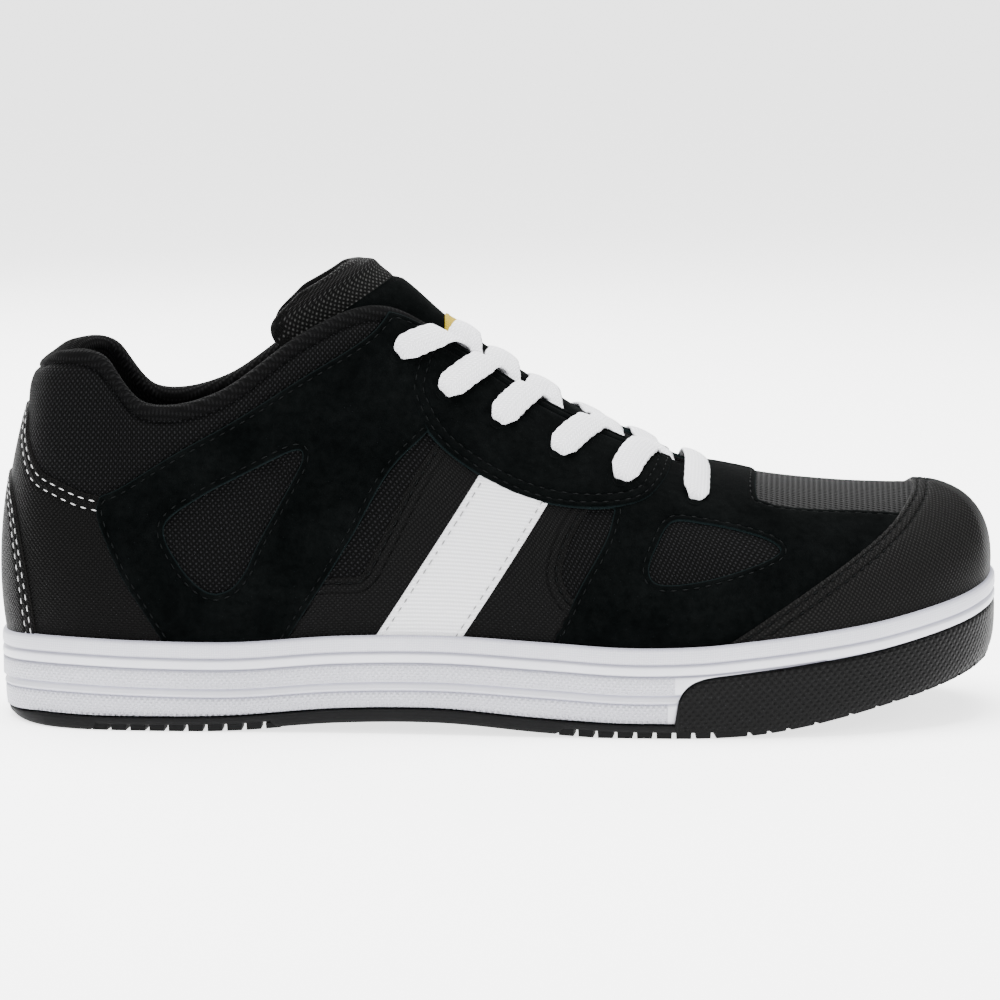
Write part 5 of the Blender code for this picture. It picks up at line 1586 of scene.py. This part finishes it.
# %% The tongue as one piece
loops = np.concatenate([top_rows, np.stack(edge_rows[1], axis=1), under_rows[:, ::-1],
                        np.stack(edge_rows[0][::-1], axis=1), top_rows[:, :1]], axis=1)
steps = np.linalg.norm(np.diff(loops, axis=1), axis=-1)
aside = np.concatenate([np.zeros((len(loops), 1)), np.cumsum(steps, axis=1)], axis=1)
ahead = np.concatenate([[0], np.cumsum(np.linalg.norm(
    np.diff(top_rows[:, TONGUE_COLUMNS // 2], axis=0), axis=-1))])
tongue_data = bmesh.new()
table = grid_from(tongue_data, loops, cloth_table(ahead, aside))
facing_row = FOLD_ROWS + int(np.argmax(faced < 0.5))
where = {vert: at for at, vert in table.items()}
for face in tongue_data.faces:
    i, j = (min(where[vert][k] for vert in face.verts) for k in (0, 1))
    front = j < TONGUE_COLUMNS + EDGE_ROWS or j > loops.shape[1] - EDGE_ROWS - 2
    face.material_index = (0 if i < facing_row else 1) if front else 2
weld(tongue_data, cap=True)
tongue_suede = make_suede("suede_plain", ())
tongue = finish_piece("tongue_padded", tongue_data, (tongue_suede, tongue_cloth, collar_knit),
                      "woven_fabric", "tongue")

# %% [markdown]
# ## The laces
#
# One flat woven band runs through six pairs of holes. On each side it goes down into its hole
# from above, crosses the edge of the throat on top of the suede, and dives under the other edge
# a little farther forward. In front it runs straight across. The band is pinched where it
# enters a hole, and its edges are rounded. A curve with a flat profile could carry it, but a
# grid of rows lets the band grow narrow, bow and dive where the suede holds it.

# %% Holes and laces
LACE_HALF = 4.5 * MM
LACE_THICK = 1.5 * MM
PINCH_REACH = 6.0 * MM
# One row for each pair of holes: where it is seen from the side, and where its lace crosses the
# edge of the throat.
LACE_HOLES = ((-0.0305, 0.1108, -0.0140), (-0.0171, 0.0996, -0.0027), (-0.0009, 0.0910, 0.0098),
              (0.0166, 0.0821, 0.0285), (0.0355, 0.0741, 0.0440), (0.0576, 0.0681, None))
DIVE_AHEAD, TUCK = 6.5 * MM, 4.5 * MM
BAR_POINTS, CROSSING_POINTS = 90, 110
under_tree = tree_of(tongue)
covers = [piece for piece in bpy.data.objects if piece.name.startswith(("suede_", "upper_shell"))]
cover_tree = tree_of(*covers)
print("laces rest on", sorted(piece.name for piece in covers))


def top_of(tree, x, y, lowest):
    hit = tree.ray_cast(Vector((x, y, 0.25)), Vector((0, 0, -1)))[0]
    return hit.z if hit is not None else lowest


def smooth_run(values, rounds):
    values = np.array(values, float)
    for _ in range(rounds):
        values[1:-1] = (values[:-2] + 2 * values[1:-1] + values[2:]) / 4
    return values


def edge_of_throat(word, x):
    """The y of the throat's edge on one side at a distance along the shoe."""
    line = sides[word].place[:, -1]
    near = line[(line[:, 0] > -0.03)]
    order = np.argsort(near[:, 0])
    return float(np.interp(x, near[order, 0], near[order, 1]))


print("throat from", round(edge_of_throat("lateral", 0.0), 4), "to",
      round(edge_of_throat("medial", 0.0), 4))

# %% One woven band
BAND_STEP, BAND_POINTS = 0.7 * MM, 25
DIVE_DEPTH = 3.0 * MM
THROAT_SLOPE = np.array([0.90, 0.0, -0.436])


def band(data, path, halves, dives, lift):
    """A flat woven band with rounded edges along a path, pinched and sunk where it dives."""
    path = np.array(path)
    far = np.concatenate([[0], np.cumsum(np.linalg.norm(np.diff(path, axis=0), axis=1))])
    count = int(far[-1] / BAND_STEP)
    at = np.linspace(0, far[-1], count)
    path = np.column_stack([np.interp(at, far, path[:, k]) for k in range(3)])
    halves = np.interp(at, far, halves)
    run = np.gradient(path, axis=0)
    run /= np.linalg.norm(run, axis=1, keepdims=True)
    aside = THROAT_SLOPE[None, :] - run * (run @ THROAT_SLOPE)[:, None]
    aside /= np.linalg.norm(aside, axis=1, keepdims=True)
    up = np.cross(aside, run)
    up *= np.where(up[:, 2:] < 0, -1, 1)
    rows, cloth = [], []
    around = np.linspace(0, 2 * math.pi, BAND_POINTS)
    across_at = np.cos(around)
    flatness = np.sign(np.sin(around)) * np.abs(np.sin(around)) ** 0.6
    for i in range(count):
        near = min(abs(at[i] - place) for place in dives(far[-1]))
        open_share = min(near / PINCH_REACH, 1.0)
        pinch = (1 - open_share) ** 1.5
        dive = (1 - open_share) ** 8
        half = halves[i] * (0.10 + 0.90 * math.sqrt(1 - (1 - open_share) ** 2))
        ripple = 1 + 0.02 * math.sin(at[i] / (0.55 * MM)) + 0.015 * random.uniform(-1, 1)
        bow = 0.5 * MM * (1 - across_at ** 2) + 1.6 * MM * pinch * (across_at ** 2 - 0.4)
        centre = path[i] + up[i] * (lift - DIVE_DEPTH * dive)
        rows.append(centre + aside[i] * (across_at * half * ripple)[:, None]
                    + up[i] * (flatness * LACE_THICK / 2 + bow)[:, None])
        cloth.append(np.column_stack([np.full(BAND_POINTS, at[i]), across_at * half,
                                      np.full(BAND_POINTS, 1.0 - pinch)]))
    grid_from(data, np.array(rows), np.array(cloth))


print("bands of", BAND_POINTS, "points round")

# %% The laces
hole_places = []
for number, (x, z, edge_x) in enumerate(LACE_HOLES):
    ends = {}
    for word, way in (("lateral", -1), ("medial", 1)):
        hit, normal, _, _ = cover_tree.ray_cast(Vector((x, 0.2 * way, z)), Vector((0, -way, 0)))
        ends[way] = np.array(hit)
        hole_places.append((hit, normal))
    data = bmesh.new()
    if edge_x is None:
        ys = np.linspace(ends[-1][1], ends[1][1], BAR_POINTS)
        rest = np.array([max(top_of(cover_tree, x, y, 0), top_of(under_tree, x, y, 0)) for y in ys])
        hull = settle(rest.copy(), 400, rest)
        bowed = x + 1.5 * MM * np.cos(ys / ends[1][1] * math.pi / 2)
        band(data, np.column_stack([bowed, ys, smooth_run(hull, 12)]),
             np.full(BAR_POINTS, LACE_HALF * 0.92), lambda end: (0.0, end), LACE_THICK * 0.75)
    else:
        for way, word, other, on_top in ((1, "medial", "lateral", False),
                                         (-1, "lateral", "medial", True)):
            start = ends[way]
            near_y, far_y = edge_of_throat(word, edge_x), edge_of_throat(other, edge_x)
            stop_y = far_y - way * TUCK
            ys = np.linspace(start[1], stop_y, CROSSING_POINTS)
            knots = ((start[1], x), (near_y, edge_x), (far_y, edge_x + DIVE_AHEAD),
                     (stop_y, edge_x + DIVE_AHEAD + 1.2 * MM))
            order = sorted(knots)
            xs = np.interp(ys, [knot[0] for knot in order], [knot[1] for knot in order])
            xs = smooth_run(xs, 60)
            low = [top_of(under_tree, a, b, z) for a, b in zip(xs, ys)]
            high = [top_of(cover_tree, a, b, z) for a, b in zip(xs, ys)]
            on_cover = (ys - near_y) * way > -0.5 * MM
            edge_z = float(np.interp(near_y * way, ys[::-1] * way, np.array(high)[::-1])) + 0.2 * MM
            far_z = float(np.interp(far_y * way, ys[::-1] * way, np.array(low)[::-1]))
            share = np.clip((near_y - ys) / (near_y - far_y), 0, 1)
            taut = edge_z + (far_z - edge_z) * share
            crossing = np.exp(-((ys - (near_y + far_y) / 2) / (5 * MM)) ** 2)
            rest = np.where(on_cover, high, np.maximum(low, taut + 1.5 * MM * crossing * on_top))
            rest = np.where(share >= 1, low, rest)
            path = np.column_stack([xs, ys, smooth_run(rest, 16)])
            halves = np.interp(share, (0, 0.45, 1), (LACE_HALF, LACE_HALF, LACE_HALF * 0.7))
            band(data, path, halves, lambda end: (0.0,), LACE_THICK * 0.6)
    weld(data, 0.01 * MM, cap=True)
    node = "lace_front_bar" if edge_x is None else "lace_crossing_%d" % (number + 1)
    finish_piece("lace_%d" % (number + 1), data, (lace_cloth,), "lace_cotton", node)

# %% The holes


def add_hole(data, place, normal):
    """A punched hole: a soft rim that turns down into the dark."""
    turn = Vector(normal).to_track_quat("Z", "Y").to_matrix().to_4x4()
    spot = Matrix.Translation(Vector(place)) @ turn
    made = bmesh.ops.create_circle(data, segments=20, radius=2.5 * MM)
    loop = list({edge for vert in made["verts"] for edge in vert.link_edges})
    points = list(made["verts"])
    for radius, height in ((2.2, 0.2), (1.9, 0.05), (1.7, -1.4), (0.4, -1.6)):
        grown = bmesh.ops.extrude_edge_only(data, edges=loop)["geom"]
        verts = [item for item in grown if isinstance(item, bmesh.types.BMVert)]
        loop = [edge for edge in grown if isinstance(edge, bmesh.types.BMEdge)
                and all(end in verts for end in edge.verts)]
        for vert in verts:
            flat = Vector((vert.co.x, vert.co.y)).normalized() * radius * MM
            vert.co = (flat.x, flat.y, height * MM)
        points += verts
    bmesh.ops.edgeloop_fill(data, edges=loop)
    bmesh.ops.transform(data, matrix=spot, verts=points)


hole_data = gather(hole_places, add_hole)
bmesh.ops.recalc_face_normals(hole_data, faces=hole_data.faces)
finish_piece("eyelet_holes", hole_data, (tongue_suede,), "suede")

# %% [markdown]
# ## The label on the tongue
#
# A small plain yellow label lies on the suede of the tongue, half under the top lace. It is one
# more panel, but its patch is read from the tongue with rays, since it doesn't lie on the last.

# %% The label
LABEL_FROM, LABEL_TO, LABEL_HALF, LABEL_SEAM = -0.0166, -0.0085, 8.5 * MM, 1.3 * MM
xs = np.linspace(LABEL_FROM, LABEL_TO, 16)
ys = np.linspace(-LABEL_HALF, LABEL_HALF, 25)
base = np.array([[(x, y, top_of(under_tree, x, y, 0.1)) for y in ys] for x in xs])
label_patch = Patch(base, -1)
depth_in = np.minimum(np.minimum(xs - xs[0], xs[-1] - xs)[:, None],
                      np.minimum(ys - ys[0], ys[-1] - ys)[None, :])
lay_panel("tongue_label_cloth", label_patch, (depth_in + 0.01 * MM, np.zeros(base.shape)),
          yellow_cloth, 0.1, 1.0, "yellow_label", "tongue_label", rows=(LABEL_SEAM,))

# %% [markdown]
# ## The stitches
#
# Each thread becomes one piece: the white one of the heel, the grey one of the tapes, and the
# dark one that hardly shows on the suede.

# %% Lay the stitches
finish_piece("stitches_white", gather(white_stitches, add_stitch), (white_thread,), "white_tape")
finish_piece("stitches_grey", gather(grey_stitches, add_stitch), (grey_thread,), "white_tape")
finish_piece("stitches_black", gather(black_stitches, add_stitch), (black_thread,), "suede")
